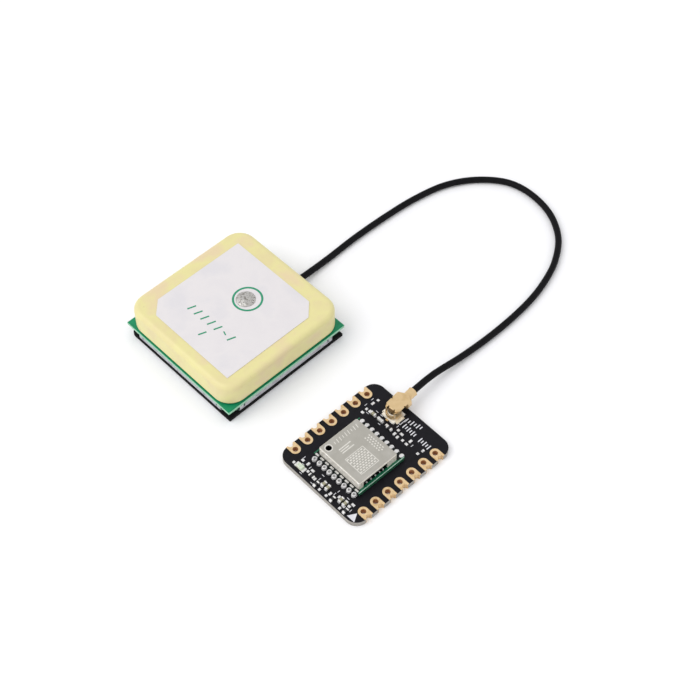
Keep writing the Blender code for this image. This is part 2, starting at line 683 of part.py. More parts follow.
def make_socket(frame, base_finish, metal_finish):
    """The socket: a moulded base, a gold ring with two soldered arms, and a centre pin on its own strip."""
    half = SOCKET_SIZE / 2
    strip_half = SOCKET_STRIP_WIDTH / 2
    body = prism(rectangle(SOCKET_SIZE, SOCKET_SIZE), 0.0, SOCKET_BASE_THICKNESS)
    base = add_object("socket_base", body, base_finish, frame)
    pin_hole = SOCKET_PIN_DIAMETER + 2 * CLEARANCE
    cut(base, "socket_pin_hole", cylinder(pin_hole, -PAST, SOCKET_BASE_THICKNESS + PAST))
    channel = block(
        (-half - PAST, strip_half + CLEARANCE),
        (-strip_half - CLEARANCE, strip_half + CLEARANCE),
        (-PAST, SOCKET_STRIP_THICKNESS + CLEARANCE),
    )
    cut(base, "socket_strip_channel", channel)

    seat = SOCKET_BASE_THICKNESS + CLEARANCE
    outer = SOCKET_RING_DIAMETER / 2
    inner = outer - SOCKET_RING_WALL
    lip = SOCKET_RING_WALL / 3
    profile = [
        (inner, seat),
        (outer, seat),
        (outer, SOCKET_RING_TOP - lip),
        (outer - lip, SOCKET_RING_TOP),
        (inner + lip / 2, SOCKET_RING_TOP),
        (inner, SOCKET_RING_TOP - lip / 2),
    ]
    ring = add_object("socket_ring", turned(profile, closed=True), metal_finish, frame)
    arm_top = seat + SOCKET_ARM_THICKNESS
    drop = half + CLEARANCE
    drop_outer = drop + SOCKET_ARM_THICKNESS
    foot = drop_outer + SOCKET_FOOT_REACH
    arm = [
        (outer - SOCKET_RING_WALL / 2, seat),
        (drop, seat),
        (drop, 0.0),
        (foot, 0.0),
        (foot, SOCKET_ARM_THICKNESS),
        (drop_outer, SOCKET_ARM_THICKNESS),
        (drop_outer, arm_top),
        (outer - SOCKET_RING_WALL / 2, arm_top),
    ]
    for side, name in ((1, "left"), (-1, "right")):
        ends = [[(x, side * y, z) for y, z in arm] for x in (-SOCKET_ARM_WIDTH / 2, SOCKET_ARM_WIDTH / 2)]
        fuse(ring, f"socket_{name}_arm", loft(ends))
    smooth(ring)

    radius = SOCKET_PIN_DIAMETER / 2
    tip = radius / 2
    pin_profile = [
        (0.0, SOCKET_STRIP_THICKNESS / 2),
        (radius, SOCKET_STRIP_THICKNESS / 2),
        (radius, SOCKET_PIN_TOP - tip),
        (radius - tip, SOCKET_PIN_TOP),
        (0.0, SOCKET_PIN_TOP),
    ]
    body = turned(pin_profile, closed=False, facets=SMALL_CIRCLE)
    pin = add_object("socket_pin", body, metal_finish, frame)
    along = (-half - SOCKET_FOOT_REACH, strip_half)
    strip = block(along, (-strip_half, strip_half), (0.0, SOCKET_STRIP_THICKNESS))
    fuse(pin, "socket_strip", strip)
    smooth(pin)


def plug_section(station, width, low, high, corner):
    """A rounded rectangle across the plug, at a distance along it."""
    middle = (low + high) / 2
    return [(station, y, middle + z) for y, z in rounded_rectangle(width, high - low, corner, steps=3)]


def make_plug(frame, metal_finish, insulator_finish):
    """The plug: a folded sheet cap set back over a slotted skirt, shoulders, and a barrel crimped on the cable."""
    half = PLUG_CAP_SIZE / 2
    axis = PLUG_AXIS
    roof = PLUG_TOP - PLUG_SHEET
    shifted = (PLUG_CAP_SHIFT, 0.0)
    cap_outline = cut_square(PLUG_CAP_SIZE, PLUG_CAP_SIZE, PLUG_CAP_CHAMFER, (1, 2), shifted)
    shell = add_object("plug_shell", prism(cap_outline, roof, PLUG_TOP), metal_finish, frame)

    inner = PLUG_SKIRT_INNER
    skirt_foot = SOCKET_BASE_THICKNESS + SOCKET_ARM_THICKNESS + 3 * CLEARANCE
    skirt = [
        (inner, skirt_foot),
        (inner + PLUG_SHEET, skirt_foot),
        (inner + PLUG_SHEET, roof + PLUG_SHEET / 2),
        (inner, roof + PLUG_SHEET / 2),
    ]
    barrel = CABLE_DIAMETER + 2 * PLUG_BARREL_WALL
    mouth = barrel + 2 * PLUG_BARREL_FLARE
    shoulder_top = PLUG_TOP - PLUG_SHEET / 4
    shoulder_foot = shoulder_top - PLUG_SHOULDER_DEPTH
    width = PLUG_CAP_SIZE + 2 * PLUG_SHOULDER_MARGIN
    body = loft([
        plug_section(PLUG_SHOULDER_START, width, shoulder_foot, shoulder_top, PLUG_SHOULDER_ROUND),
        plug_section(PLUG_SHOULDER_END, width, shoulder_foot, shoulder_top, PLUG_SHOULDER_ROUND),
        plug_section(PLUG_BARREL_START, barrel, axis - barrel / 2, axis + barrel / 2, barrel / 2),
        plug_section(PLUG_BARREL_END - PLUG_SHEET, barrel, axis - barrel / 2, axis + barrel / 2, barrel / 2),
        plug_section(PLUG_BARREL_END, mouth, axis - mouth / 2, axis + mouth / 2, mouth / 2),
    ])
    fuse(shell, "plug_body", body)
    fuse(shell, "plug_skirt", turned(skirt, closed=True))
    for side, name in ((1, "left"), (-1, "right")):
        edge = side * (inner + PLUG_SHEET) / math.sqrt(2)
        slot = block(
            (-half - PAST, 0.0),
            (edge - PLUG_SLOT_WIDTH / 2, edge + PLUG_SLOT_WIDTH / 2),
            (-PAST, roof - PLUG_SLOT_WIDTH),
        )
        cut(shell, f"plug_{name}_slot", slot)
    front = block(
        (-half - PAST, PLUG_CAP_SHIFT - half - CLEARANCE),
        (-half, half),
        (SOCKET_RING_TOP, PLUG_TOP + PAST),
    )
    cut(shell, "plug_open_front", front)
    bore = CABLE_DIAMETER + 2 * CLEARANCE
    cut(shell, "plug_bore", rod(bore, PLUG_BORE_END, PLUG_BARREL_END + PAST, 0.0, axis, facets=SMALL_CIRCLE))
    middle = PLUG_BORE_END + PLUG_BORE_DEPTH / 2
    cut(shell, "plug_core_bore", rod(PLUG_CORE_BORE, 0.0, middle, 0.0, axis, facets=SMALL_CIRCLE))
    smooth(shell)

    foot = SOCKET_RING_TOP + PLUG_INSULATOR_GAP
    under_cap = half - PLUG_CAP_SHIFT - CLEARANCE
    disc = cylinder(2 * min(under_cap, inner - CLEARANCE), foot, roof - CLEARANCE, facets=LARGE_CIRCLE)
    add_object("plug_insulator", disc, insulator_finish, frame)

    grip = SOCKET_PIN_DIAMETER / 2 + CLEARANCE
    contact_foot = SOCKET_BASE_THICKNESS + 2 * CLEARANCE
    contact_top = foot - CLEARANCE
    tail_height = contact_top - CLEARANCE - PLUG_TAIL_DIAMETER / 2
    profile = [
        (0.0, SOCKET_PIN_TOP + CLEARANCE),
        (grip, SOCKET_PIN_TOP + CLEARANCE),
        (grip, contact_foot),
        (grip + PLUG_CONTACT_WALL, contact_foot),
        (grip + PLUG_CONTACT_WALL, contact_top),
        (0.0, contact_top),
    ]
    body = turned(profile, closed=False, facets=SMALL_CIRCLE)
    contact = add_object("plug_contact", body, metal_finish, frame)
    tail = rod(PLUG_TAIL_DIAMETER, 0.0, PLUG_BORE_END, 0.0, tail_height, facets=SMALL_CIRCLE)
    fuse(contact, "plug_contact_tail", tail)


# Coaxial cable


def smooth_route(points, spacing):
    """Evenly spaced points on a smooth curve through the route's own points."""
    fine = []
    for i in range(len(points) - 1):
        before = points[max(i - 1, 0)]
        after = points[min(i + 2, len(points) - 1)]
        start, end = points[i], points[i + 1]
        out = (end - before) / 2
        into = (after - start) / 2
        for step in range(40):
            t = step / 40
            fine.append(
                start * (2 * t**3 - 3 * t**2 + 1)
                + out * (t**3 - 2 * t**2 + t)
                + end * (3 * t**2 - 2 * t**3)
                + into * (t**3 - t**2)
            )
    fine.append(points[-1])
    gaps = [(b - a).length for a, b in zip(fine, fine[1:])]
    count = max(2, round(sum(gaps) / spacing))
    step = sum(gaps) / count
    even = [fine[0]]
    travelled = 0.0
    for point, gap in zip(fine[1:], gaps):
        travelled += gap
        if travelled >= step * len(even) and len(even) < count:
            even.append(point)
    return even + [fine[-1]]


def make_cable(antenna, plug, jacket_finish):
    """The cable from inside the antenna's can, through its notch, across the table and into the plug's barrel."""
    wall = ANTENNA_CAN_SIZE / 2
    table = CABLE_DIAMETER / 2 + CLEARANCE
    start = frame_point(antenna, wall - CABLE_INSIDE_LENGTH, CABLE_EXIT_Y, ANTENNA_CABLE_AXIS)
    can_exit = frame_point(antenna, wall + CABLE_DIAMETER / 2, CABLE_EXIT_Y, ANTENNA_CABLE_AXIS)
    between = [Vector((x, y, table + lift)) for x, y, lift in CABLE_ROUTE]
    barrel_mouth = frame_point(plug, PLUG_BARREL_END + CABLE_DIAMETER / 2, 0.0, PLUG_AXIS)
    end = frame_point(plug, PLUG_BORE_END + CLEARANCE, 0.0, PLUG_AXIS)
    own = [start, can_exit, *between, barrel_mouth, end]
    points = smooth_route(own, CABLE_POINT_SPACING)
    curve = bpy.data.curves.new("coax_cable", "CURVE")
    curve.dimensions = "3D"
    curve.bevel_depth = CABLE_DIAMETER / 2
    curve.bevel_resolution = 2
    curve.use_fill_caps = True
    spline = curve.splines.new("POLY")
    spline.points.add(len(points) - 1)
    for spot, point in zip(spline.points, points):
        spot.co = (*point, 1.0)
    curve.materials.append(jacket_finish)
    cable = bpy.data.objects.new("coax_cable", curve)
    bpy.context.scene.collection.objects.link(cable)


def make_cable_end(antenna, core_finish, solder_finish):
    """Inside the antenna: the stripped core, and the solder that ties the braid to the antenna's board."""
    inner = ANTENNA_CAN_SIZE / 2 - CABLE_INSIDE_LENGTH
    core_end = inner - CLEARANCE
    place = (CABLE_EXIT_Y, ANTENNA_CABLE_AXIS)
    core = rod(CABLE_CORE_DIAMETER, core_end - CABLE_CORE_LENGTH, core_end, *place, facets=SMALL_CIRCLE)
    add_object("cable_core", core, core_finish, antenna)
    top = ANTENNA_BOARD_SEAT - CLEARANCE
    half = CABLE_DIAMETER / 2 + CLEARANCE + BRAID_JOINT_WALL
    saddle = block(
        (inner, inner + BRAID_JOINT_LENGTH),
        (CABLE_EXIT_Y - half, CABLE_EXIT_Y + half),
        (top - BRAID_JOINT_DEPTH, top),
    )
    joint = add_object("braid_joint", saddle, solder_finish, antenna)
    bore = rod(CABLE_DIAMETER + 2 * CLEARANCE, inner - PAST, inner + BRAID_JOINT_LENGTH + PAST, *place)
    cut(joint, "braid_bore", bore)


# Antenna


def make_base_pad(antenna, finish):
    """The foam adhesive pad, with one corner worn round."""
    half = BASE_PAD_SIZE / 2
    soft = BASE_PAD_SOFT_CORNER
    arc = [math.pi / 2 * (1 + step / 4) for step in range(5)]
    corner = [(soft - half + soft * math.cos(angle), half - soft + soft * math.sin(angle)) for angle in arc]
    outline = [(half, half), *corner, (-half, -half), (half, -half)]
    add_object("base_pad", prism(outline, 0.0, BASE_PAD_THICKNESS), finish, antenna)


def make_antenna_can(antenna, finish):
    """A shallow folded can: cut corners, four walls that stop short of them, and a notch for the cable."""
    size = ANTENNA_CAN_SIZE
    sheet = ANTENNA_CAN_SHEET
    fold = ANTENNA_CAN_FOLD_RADIUS
    corner = ANTENNA_CAN_CORNER_CUT
    half = size / 2

    def ring(inset, height):
        side = size - 2 * inset
        chamfer = corner - inset * (2 - math.sqrt(2))
        return level(cut_square(side, side, chamfer, (0, 1, 2, 3)), height)

    shell = loft([
        ring(fold, ANTENNA_CAN_SEAT),
        ring(0.3 * fold, ANTENNA_CAN_SEAT + 0.3 * fold),
        ring(0.0, ANTENNA_CAN_SEAT + fold),
        ring(0.0, ANTENNA_CAN_RIM),
    ])
    can = add_object("antenna_can", shell, finish, antenna)
    floor = ANTENNA_CAN_FLOOR
    cut(can, "antenna_can_inside", loft([ring(sheet, floor), ring(sheet, ANTENNA_CAN_RIM + PAST)]))

    corners = bmesh.new()
    slits = bmesh.new()
    for sx, sy in CORNERS:
        limits = [sorted((s * (half - corner), s * (half + PAST))) for s in (sx, sy)]
        block(limits[0], limits[1], (floor + fold, ANTENNA_CAN_RIM + PAST), corners)
        near = half - corner - ANTENNA_CAN_TAB
        heights = (ANTENNA_CAN_SEAT + ANTENNA_CAN_SLIT_FOOT, ANTENNA_CAN_RIM + PAST)
        across = (half - sheet - PAST, half + PAST)
        along = (near - ANTENNA_CAN_SLIT, near)
        block(sorted(sx * v for v in across), sorted(sy * v for v in along), heights, slits)
        block(sorted(sx * v for v in along), sorted(sy * v for v in across), heights, slits)
    cut(can, "antenna_can_corners", corners)
    cut(can, "antenna_can_slits", slits)

    notch = CABLE_DIAMETER / 2 + ANTENNA_CAN_NOTCH_CLEARANCE
    reach = (half - sheet - PAST, half + PAST)
    cut(can, "cable_notch", rod(2 * notch, *reach, CABLE_EXIT_Y, ANTENNA_CABLE_AXIS))
    across = (CABLE_EXIT_Y - notch, CABLE_EXIT_Y + notch)
    mouth = block(reach, across, (ANTENNA_CABLE_AXIS, ANTENNA_CAN_RIM + PAST))
    cut(can, "cable_notch_mouth", mouth)


def make_antenna_layers(
    antenna, board_finish, tape_finish, ceramic_finish, electrode_finish, solder_finish
):
    """The antenna's board, tape, ceramic block and printed electrode, all pierced by the feed pin."""
    feed = (FEED_X, FEED_Y)
    hole = FEED_SHANK_DIAMETER + 2 * FEED_HOLE_CLEARANCE

    def pierce(obj, low, high):
        cut(obj, obj.name + "_hole", cylinder(hole, low - PAST, high + PAST, feed))

    top = ANTENNA_BOARD_SEAT + ANTENNA_BOARD_THICKNESS
    outline = rectangle(ANTENNA_BOARD_SIZE, ANTENNA_BOARD_SIZE)
    board = add_object("antenna_board", prism(outline, ANTENNA_BOARD_SEAT, top), board_finish, antenna)
    pierce(board, ANTENNA_BOARD_SEAT, top)

    top = TAPE_SEAT + TAPE_THICKNESS
    corner = CERAMIC_CORNER_RADIUS + CERAMIC_INSET - TAPE_INSET
    outline = rounded_rectangle(TAPE_SIZE, TAPE_SIZE, corner, steps=6)
    tape = add_object("mounting_tape", prism(outline, TAPE_SEAT, top), tape_finish, antenna)
    pierce(tape, TAPE_SEAT, top)

    def ring(inset, height):
        side = CERAMIC_SIZE - 2 * inset
        return level(rounded_rectangle(side, side, CERAMIC_CORNER_RADIUS - inset, steps=7), height)

    top = CERAMIC_SEAT + CERAMIC_THICKNESS
    foot = CERAMIC_FOOT_RADIUS
    edge = CERAMIC_EDGE_RADIUS
    rings = [
        ring(foot, CERAMIC_SEAT),
        ring(0.3 * foot, CERAMIC_SEAT + 0.3 * foot),
        ring(0.0, CERAMIC_SEAT + foot),
    ]
    for step in range(5):
        angle = math.pi / 2 * step / 4
        rings.append(ring(edge * (1 - math.cos(angle)), top - edge * (1 - math.sin(angle))))
    ceramic = add_object("ceramic_block", loft(rings), ceramic_finish, antenna)
    pierce(ceramic, CERAMIC_SEAT, top)
    smooth(ceramic)

    top = ELECTRODE_SEAT + ELECTRODE_THICKNESS
    side = ELECTRODE_SIZE
    outline = cut_square(side, side, ELECTRODE_CORNER_CUT, (1, 3), ELECTRODE_SHIFT)
    body = prism(outline, ELECTRODE_SEAT, top)
    electrode = add_object("patch_electrode", body, electrode_finish, antenna)
    pierce(electrode, ELECTRODE_SEAT, top)

    head = FEED_HEAD_DIAMETER / 2
    shank = FEED_SHANK_DIAMETER / 2
    rise = FEED_HEAD_HEIGHT - FEED_HEAD_EDGE
    foot = ANTENNA_BOARD_SEAT - FEED_TAIL
    profile = [(0.0, foot), (shank, foot), (shank, FEED_SEAT), (head, FEED_SEAT)]
    for step in range(5):
        angle = math.pi / 2 * step / 4
        profile.append((head * math.cos(angle), FEED_SEAT + FEED_HEAD_EDGE + rise * math.sin(angle)))
    profile[-1] = (0.0, FEED_SEAT + FEED_HEAD_HEIGHT)
    body = turned(profile, closed=False)
    pin = add_object("feed_pin", body, solder_finish, antenna, (FEED_X, FEED_Y, 0.0))
    smooth(pin)


def make_amplifier(antenna, chip_finish, filter_finish, capacitor_finish, inductor_finish):
    """The amplifier's parts, which hang from the antenna's board inside its can."""
    seat = ANTENNA_BOARD_SEAT - CLEARANCE
    chip = rectangle(AMPLIFIER_SIZE, AMPLIFIER_SIZE, (AMPLIFIER_X, AMPLIFIER_Y))
    add_object("amplifier_chip", prism(chip, seat - AMPLIFIER_THICKNESS, seat), chip_finish, antenna)
    body = rectangle(ANTENNA_FILTER_LENGTH, ANTENNA_FILTER_WIDTH, (AMPLIFIER_X, ANTENNA_FILTER_Y))
    add_object("antenna_filter", prism(body, seat - ANTENNA_FILTER_THICKNESS, seat), filter_finish, antenna)
    placed = {"across": True, "seat": seat, "parent": antenna, "hanging": True}
    row = (
        ("amplifier_capacitor_1", capacitor_finish),
        ("amplifier_inductor", inductor_finish),
        ("amplifier_capacitor_2", capacitor_finish),
    )
    for number, (name, finish) in enumerate(row):
        x = AMPLIFIER_ROW_X - number * AMPLIFIER_ROW_PITCH
        chip_part(name, CAPACITOR_HEIGHT, finish, x, AMPLIFIER_Y, **placed)


def build():
    clear_scene()
    black_mask = make_material("black_solder_mask", (0.018, 0.018, 0.022), 0.38)
    green_mask = make_material("green_solder_mask", (0.004, 0.19, 0.10), 0.42)
    dark_green_mask = make_material("dark_green_solder_mask", (0.010, 0.085, 0.045), 0.40)
    gold = make_material("gold_plating", (0.78, 0.56, 0.27), 0.32, 1.0)
    tin = make_material("tinned_sheet", (0.66, 0.66, 0.66), 0.38, 1.0)
    nickel = make_material("nickel_silver", (0.46, 0.45, 0.41), 0.42, 1.0)
    solder = make_material("solder", (0.60, 0.60, 0.61), 0.35, 1.0)
    ceramic = make_material("patch_ceramic", (0.82, 0.75, 0.40), 0.55)
    silver_print = make_material("silver_print", (0.80, 0.79, 0.81), 0.50, 0.2)
    foam = make_material("black_foam", (0.012, 0.012, 0.013), 0.85)
    tape = make_material("adhesive_tape", (0.30, 0.31, 0.24), 0.80)
    jacket = make_material("black_jacket", (0.012, 0.012, 0.014), 0.40)
    core = make_material("white_dielectric", (0.75, 0.75, 0.72), 0.50)
    moulding = make_material("cream_moulding", (0.72, 0.66, 0.52), 0.50)
    black_chip = make_material("black_epoxy", (0.015, 0.015, 0.016), 0.55)
    capacitor = make_material("capacitor_ceramic", (0.28, 0.26, 0.18), 0.50)
    resistor = make_material("resistor_glaze", (0.02, 0.02, 0.022), 0.35)
    inductor = make_material("inductor_ceramic", (0.55, 0.56, 0.55), 0.50)
    led_white = make_material("led_body", (0.75, 0.74, 0.68), 0.50)
    led_lens = make_material("led_resin", (0.72, 0.78, 0.66), 0.20)

    make_carrier_board(black_mask)
    make_edge_pads(gold)
    make_module_board(dark_green_mask)
    make_module_can(nickel)
    make_module_parts(black_chip, tin, silver_print)
    make_small_parts(capacitor, resistor, inductor)
    make_status_light(led_white, led_lens)

    connector_x = BOARD_FRONT - CONNECTOR_INSET
    socket = add_frame("socket_frame", connector_x, CONNECTOR_Y, BOARD_SEAT)
    plug = add_frame("plug_frame", connector_x, CONNECTOR_Y, BOARD_SEAT, PLUG_TURN)
    make_socket(socket, moulding, gold)
    make_plug(plug, gold, core)

    antenna = add_frame("antenna_frame", ANTENNA_X, ANTENNA_Y, 0.0, ANTENNA_TURN)
    make_cable(antenna, plug, jacket)
    make_cable_end(antenna, core, solder)
    make_base_pad(antenna, foam)
    make_antenna_can(antenna, tin)
    make_antenna_layers(antenna, green_mask, tape, ceramic, silver_print, solder)
    make_amplifier(antenna, black_chip, silver_print, capacitor, inductor)


build()
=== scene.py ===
import math

import bmesh
import bpy
from mathutils import Matrix, Vector


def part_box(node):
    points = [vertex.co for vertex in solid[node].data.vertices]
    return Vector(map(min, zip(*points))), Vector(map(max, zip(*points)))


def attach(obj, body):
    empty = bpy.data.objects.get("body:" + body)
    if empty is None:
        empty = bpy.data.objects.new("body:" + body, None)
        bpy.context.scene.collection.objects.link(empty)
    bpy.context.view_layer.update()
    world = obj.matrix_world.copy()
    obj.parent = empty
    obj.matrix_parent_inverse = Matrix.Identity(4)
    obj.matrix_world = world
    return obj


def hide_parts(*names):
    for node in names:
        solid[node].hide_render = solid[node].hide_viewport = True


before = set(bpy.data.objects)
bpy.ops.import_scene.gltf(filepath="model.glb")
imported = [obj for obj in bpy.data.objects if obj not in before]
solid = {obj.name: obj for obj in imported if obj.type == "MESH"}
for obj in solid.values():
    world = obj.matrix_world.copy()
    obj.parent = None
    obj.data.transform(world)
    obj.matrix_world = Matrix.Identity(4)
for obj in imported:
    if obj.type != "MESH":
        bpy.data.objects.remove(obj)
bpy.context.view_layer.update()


# Table, light and camera.
# The object stands on a plain pale table, in a bright room. Two wide soft lights shine on it from low X.
# The camera looks down on it from beyond the board's corner at low X and low Y, through a long lens.

MM = 0.001


def tone(red, green, blue):
    """The linear colour that a shader takes, from a screen colour of 0 to 255 in each channel."""
    screen = [channel / 255 for channel in (red, green, blue)]
    return (*(c / 12.92 if c < 0.04 else ((c + 0.055) / 1.055) ** 2.4 for c in screen), 1.0)


def finish(
    name, tones, patch, rough, metallic=0.0, relief=0.0, grain=0.1, stretch=(1, 1, 1), fleck=None, **sockets
):
    """A material whose colour drifts between tones over patches of a size in mm.
    A finer grain, also in mm, moves its roughness between two values and lifts it by a relief in mm.
    fleck is (colour, size in mm, share of the surface). Further values go to the shader's own sockets."""
    made = bpy.data.materials.new(name)
    made.use_nodes = True
    nodes, links = made.node_tree.nodes, made.node_tree.links
    shader = nodes["Principled BSDF"]
    shader.inputs["Metallic"].default_value = metallic
    for socket, value in sockets.items():
        shader.inputs[socket.replace("_", " ")].default_value = value
    place = nodes.new("ShaderNodeTexCoord")
    spread = nodes.new("ShaderNodeMapping")
    spread.inputs["Scale"].default_value = stretch
    links.new(place.outputs["Object"], spread.inputs["Vector"])

    def drift(size, detail):
        noise = nodes.new("ShaderNodeTexNoise")
        noise.inputs["Scale"].default_value = 1 / (size * MM)
        noise.inputs["Detail"].default_value = detail
        links.new(spread.outputs["Vector"], noise.inputs["Vector"])
        return noise.outputs["Fac"]

    def ranged(value, start, end, low=0.0, high=1.0):
        step = nodes.new("ShaderNodeMapRange")
        for socket, number in zip(("From Min", "From Max", "To Min", "To Max"), (start, end, low, high)):
            step.inputs[socket].default_value = number
        links.new(value, step.inputs["Value"])
        return step.outputs["Result"]

    blend = nodes.new("ShaderNodeValToRGB")
    stops = blend.color_ramp.elements
    for number, colour in enumerate(tones):
        position = 0.32 + 0.36 * number / (len(tones) - 1)
        stop = stops[number] if number < 2 else stops.new(position)
        stop.position = position
        stop.color = colour
    links.new(drift(patch, detail=5.0), blend.inputs["Fac"])
    colour = blend.outputs["Color"]
    if fleck:
        speck, size, share = fleck
        threshold = 0.75 - 0.5 * share
        mix = nodes.new("ShaderNodeMix")
        mix.data_type = "RGBA"
        amount, under, over = (mix.inputs[number] for number in (0, 6, 7))
        over.default_value = speck
        links.new(ranged(drift(size, detail=2.0), threshold, threshold + 0.04), amount)
        links.new(colour, under)
        colour = mix.outputs[2]
    links.new(colour, shader.inputs["Base Color"])
    fine = drift(grain, detail=3.0)
    links.new(ranged(fine, 0.3, 0.7, *rough), shader.inputs["Roughness"])
    if relief:
        bump = nodes.new("ShaderNodeBump")
        bump.inputs["Distance"].default_value = relief * MM
        links.new(fine, bump.inputs["Height"])
        links.new(bump.outputs["Normal"], shader.inputs["Normal"])
    return made


bpy.ops.object.select_all(action="DESELECT")
bpy.ops.mesh.primitive_plane_add(size=6.0, location=(0.0, 0.0, -0.02 * MM))
table = bpy.context.object
table.name = "table"
paper = finish("table_paper", [tone(246, 246, 247), tone(248, 248, 248)], 60.0, (0.75, 0.85), grain=2.0)
table.data.materials.append(paper)

room = bpy.data.worlds.new("studio")
room.use_nodes = True
glow = room.node_tree.nodes["Background"]
glow.inputs["Color"].default_value = (0.98, 0.98, 1.0, 1.0)
glow.inputs["Strength"].default_value = 0.93
bpy.context.scene.world = room
bpy.context.scene.view_settings.view_transform = "Standard"

lit = Vector((0.0240, 0.0175, 0.0))
light_width = 0.50
for name, place, power in (
    ("key_light", (-0.34, 0.20, 0.52), 1.5),
    ("fill_light", (-0.62, -0.02, 0.30), 0.30),
):
    bpy.ops.object.light_add(type="AREA", location=place)
    light = bpy.context.object
    light.name = name
    light.data.shape = "DISK"
    light.data.size = light_width
    light.data.energy = power
    light.rotation_euler = (Vector(place) - lit).to_track_quat("Z", "Y").to_euler()

azimuth, elevation, roll = (math.radians(angle) for angle in (-43.34, 53.06, 0.20))
sighted = Vector((0.01168, 0.01588, 0.001))
distance = 0.24312
level_line = Vector((math.cos(azimuth), math.sin(azimuth), 0.0))
facing = Vector((math.sin(azimuth), -math.cos(azimuth), 0.0))
back = facing * math.cos(elevation) + Vector((0.0, 0.0, math.sin(elevation)))
rise = back.cross(level_line)
rightward = level_line * math.cos(roll) + rise * math.sin(roll)
upward = rise * math.cos(roll) - level_line * math.sin(roll)
bpy.ops.object.camera_add(location=sighted + back * distance)
camera = bpy.context.object
camera.rotation_euler = Matrix((rightward, upward, back)).transposed().to_euler()
camera.data.lens = 77.14
camera.data.sensor_width = 36.0
camera.data.clip_start = 0.01
camera.data.clip_end = 20.0
bpy.context.scene.camera = camera


# Carrier board.
# A sheet of glass-fibre laminate with rounded corners, under a satin black solder mask on both faces.
# Its edges are bare laminate. Two rows of holes and half holes are drilled along its long sides.


def take(obj):
    """Selects one object alone."""
    bpy.ops.object.select_all(action="DESELECT")
    obj.select_set(True)
    bpy.context.view_layer.objects.active = obj


def added(name):
    """Names the primitive just added and puts its place into its mesh."""
    obj = bpy.context.object
    obj.name = obj.data.name = name
    bpy.ops.object.transform_apply(location=True, rotation=True, scale=True)
    return obj


def metres(x, y, z):
    """A place given in mm, in metres."""
    return x * MM, y * MM, z * MM


def block(name, low, high):
    """A cuboid between two corners, in mm."""
    bpy.ops.object.select_all(action="DESELECT")
    low, high = Vector(low) * MM, Vector(high) * MM
    bpy.ops.mesh.primitive_cube_add(size=1.0, location=(low + high) / 2, scale=high - low)
    return added(name)


def drum(name, radius, low, high, x=0.0, y=0.0, sides=40):
    """An upright cylinder between two levels, in mm."""
    bpy.ops.object.select_all(action="DESELECT")
    centre = metres(x, y, (low + high) / 2)
    bpy.ops.mesh.primitive_cylinder_add(
        vertices=sides, radius=radius * MM, depth=(high - low) * MM, location=centre
    )
    return added(name)


def hoop(name, sides, radius, place, tilt=0.0, fill="NOTHING"):
    """A circle of edges, in mm, tilted about Y. The fill NGON makes it a disc."""
    bpy.ops.object.select_all(action="DESELECT")
    bpy.ops.mesh.primitive_circle_add(
        vertices=sides, radius=radius * MM, fill_type=fill,
        location=metres(*place), rotation=(0.0, tilt, 0.0),
    )
    return added(name)


def pick(obj, kind, test):
    """Opens the mesh with only the faces, edges or verts that pass the test selected."""
    take(obj)
    bpy.ops.object.mode_set(mode="EDIT")
    bpy.ops.mesh.select_mode(type={"faces": "FACE", "edges": "EDGE", "verts": "VERT"}[kind])
    bpy.ops.mesh.select_all(action="DESELECT")
    shape = bmesh.from_edit_mesh(obj.data)
    for part in getattr(shape, kind):
        if test(part):
            part.select_set(True)
    bmesh.update_edit_mesh(obj.data)


def close():
    """Closes the mesh that pick opened."""
    bpy.ops.object.mode_set(mode="OBJECT")


def close_outward():
    """Turns every face outward, and closes the mesh."""
    bpy.ops.mesh.select_all(action="SELECT")
    bpy.ops.mesh.normals_make_consistent(inside=False)
    close()


def pull(x, y, z):
    """Extrudes what is picked by a distance along each axis, in mm."""
    bpy.ops.mesh.extrude_region_move(TRANSFORM_OT_translate={"value": metres(x, y, z)})


def bevel_picked(width, segments):
    """Rounds the picked edges, in mm, and closes the mesh."""
    bpy.ops.mesh.bevel(offset=width * MM, segments=segments, affect="EDGES")
    close()


hair = 1e-4 * MM


def upright(edge):
    """Whether an edge stands upright."""
    a, b = (v.co for v in edge.verts)
    return abs(a.x - b.x) < hair and abs(a.y - b.y) < hair


def apply(obj, step):
    """Makes a modifier part of the mesh."""
    take(obj)
    bpy.ops.object.modifier_apply(modifier=step.name)


def shade(obj, angle=40.0):
    """Shades curved faces smooth and leaves those that lie square to an axis flat."""
    take(obj)
    bpy.ops.object.shade_smooth_by_angle(angle=math.radians(angle))
    for face in obj.data.polygons:
        if max(abs(v) for v in face.normal) > 0.99999:
            face.use_smooth = False


def soften(obj, width, segments=2, angle=40.0):
    """Rounds all edges sharper than an angle, in mm, and shades the result."""
    step = obj.modifiers.new("soft_edges", "BEVEL")
    step.width = width * MM
    step.segments = segments
    step.limit_method = "ANGLE"
    step.angle_limit = math.radians(angle)
    step.harden_normals = False
    apply(obj, step)
    shade(obj, angle)


def cut(obj, tool, operation="DIFFERENCE"):
    """Cuts one shape with another, or fuses them, and throws the tool away."""
    step = obj.modifiers.new("cut", "BOOLEAN")
    step.operation = operation
    step.solver = "EXACT"
    step.object = tool
    apply(obj, step)
    bpy.data.objects.remove(tool)


def joined(parts):
    """Several objects made into the first of them."""
    take(parts[0])
    for part in parts[1:]:
        part.select_set(True)
    bpy.ops.object.join()
    return parts[0]


def laid(x, y, z=0.0, turn=0.0):
    """The place of a piece, in mm, and its turn about the upright, in degrees."""
    return Matrix.Translation(metres(x, y, z)) @ Matrix.Rotation(math.radians(turn), 4, "Z")


def twin(piece, name, place):
    """A copy with its own mesh, moved by a matrix."""
    made = piece.copy()
    made.data = piece.data.copy()
    made.name = made.data.name = name
    bpy.context.scene.collection.objects.link(made)
    made.data.transform(place)
    return made


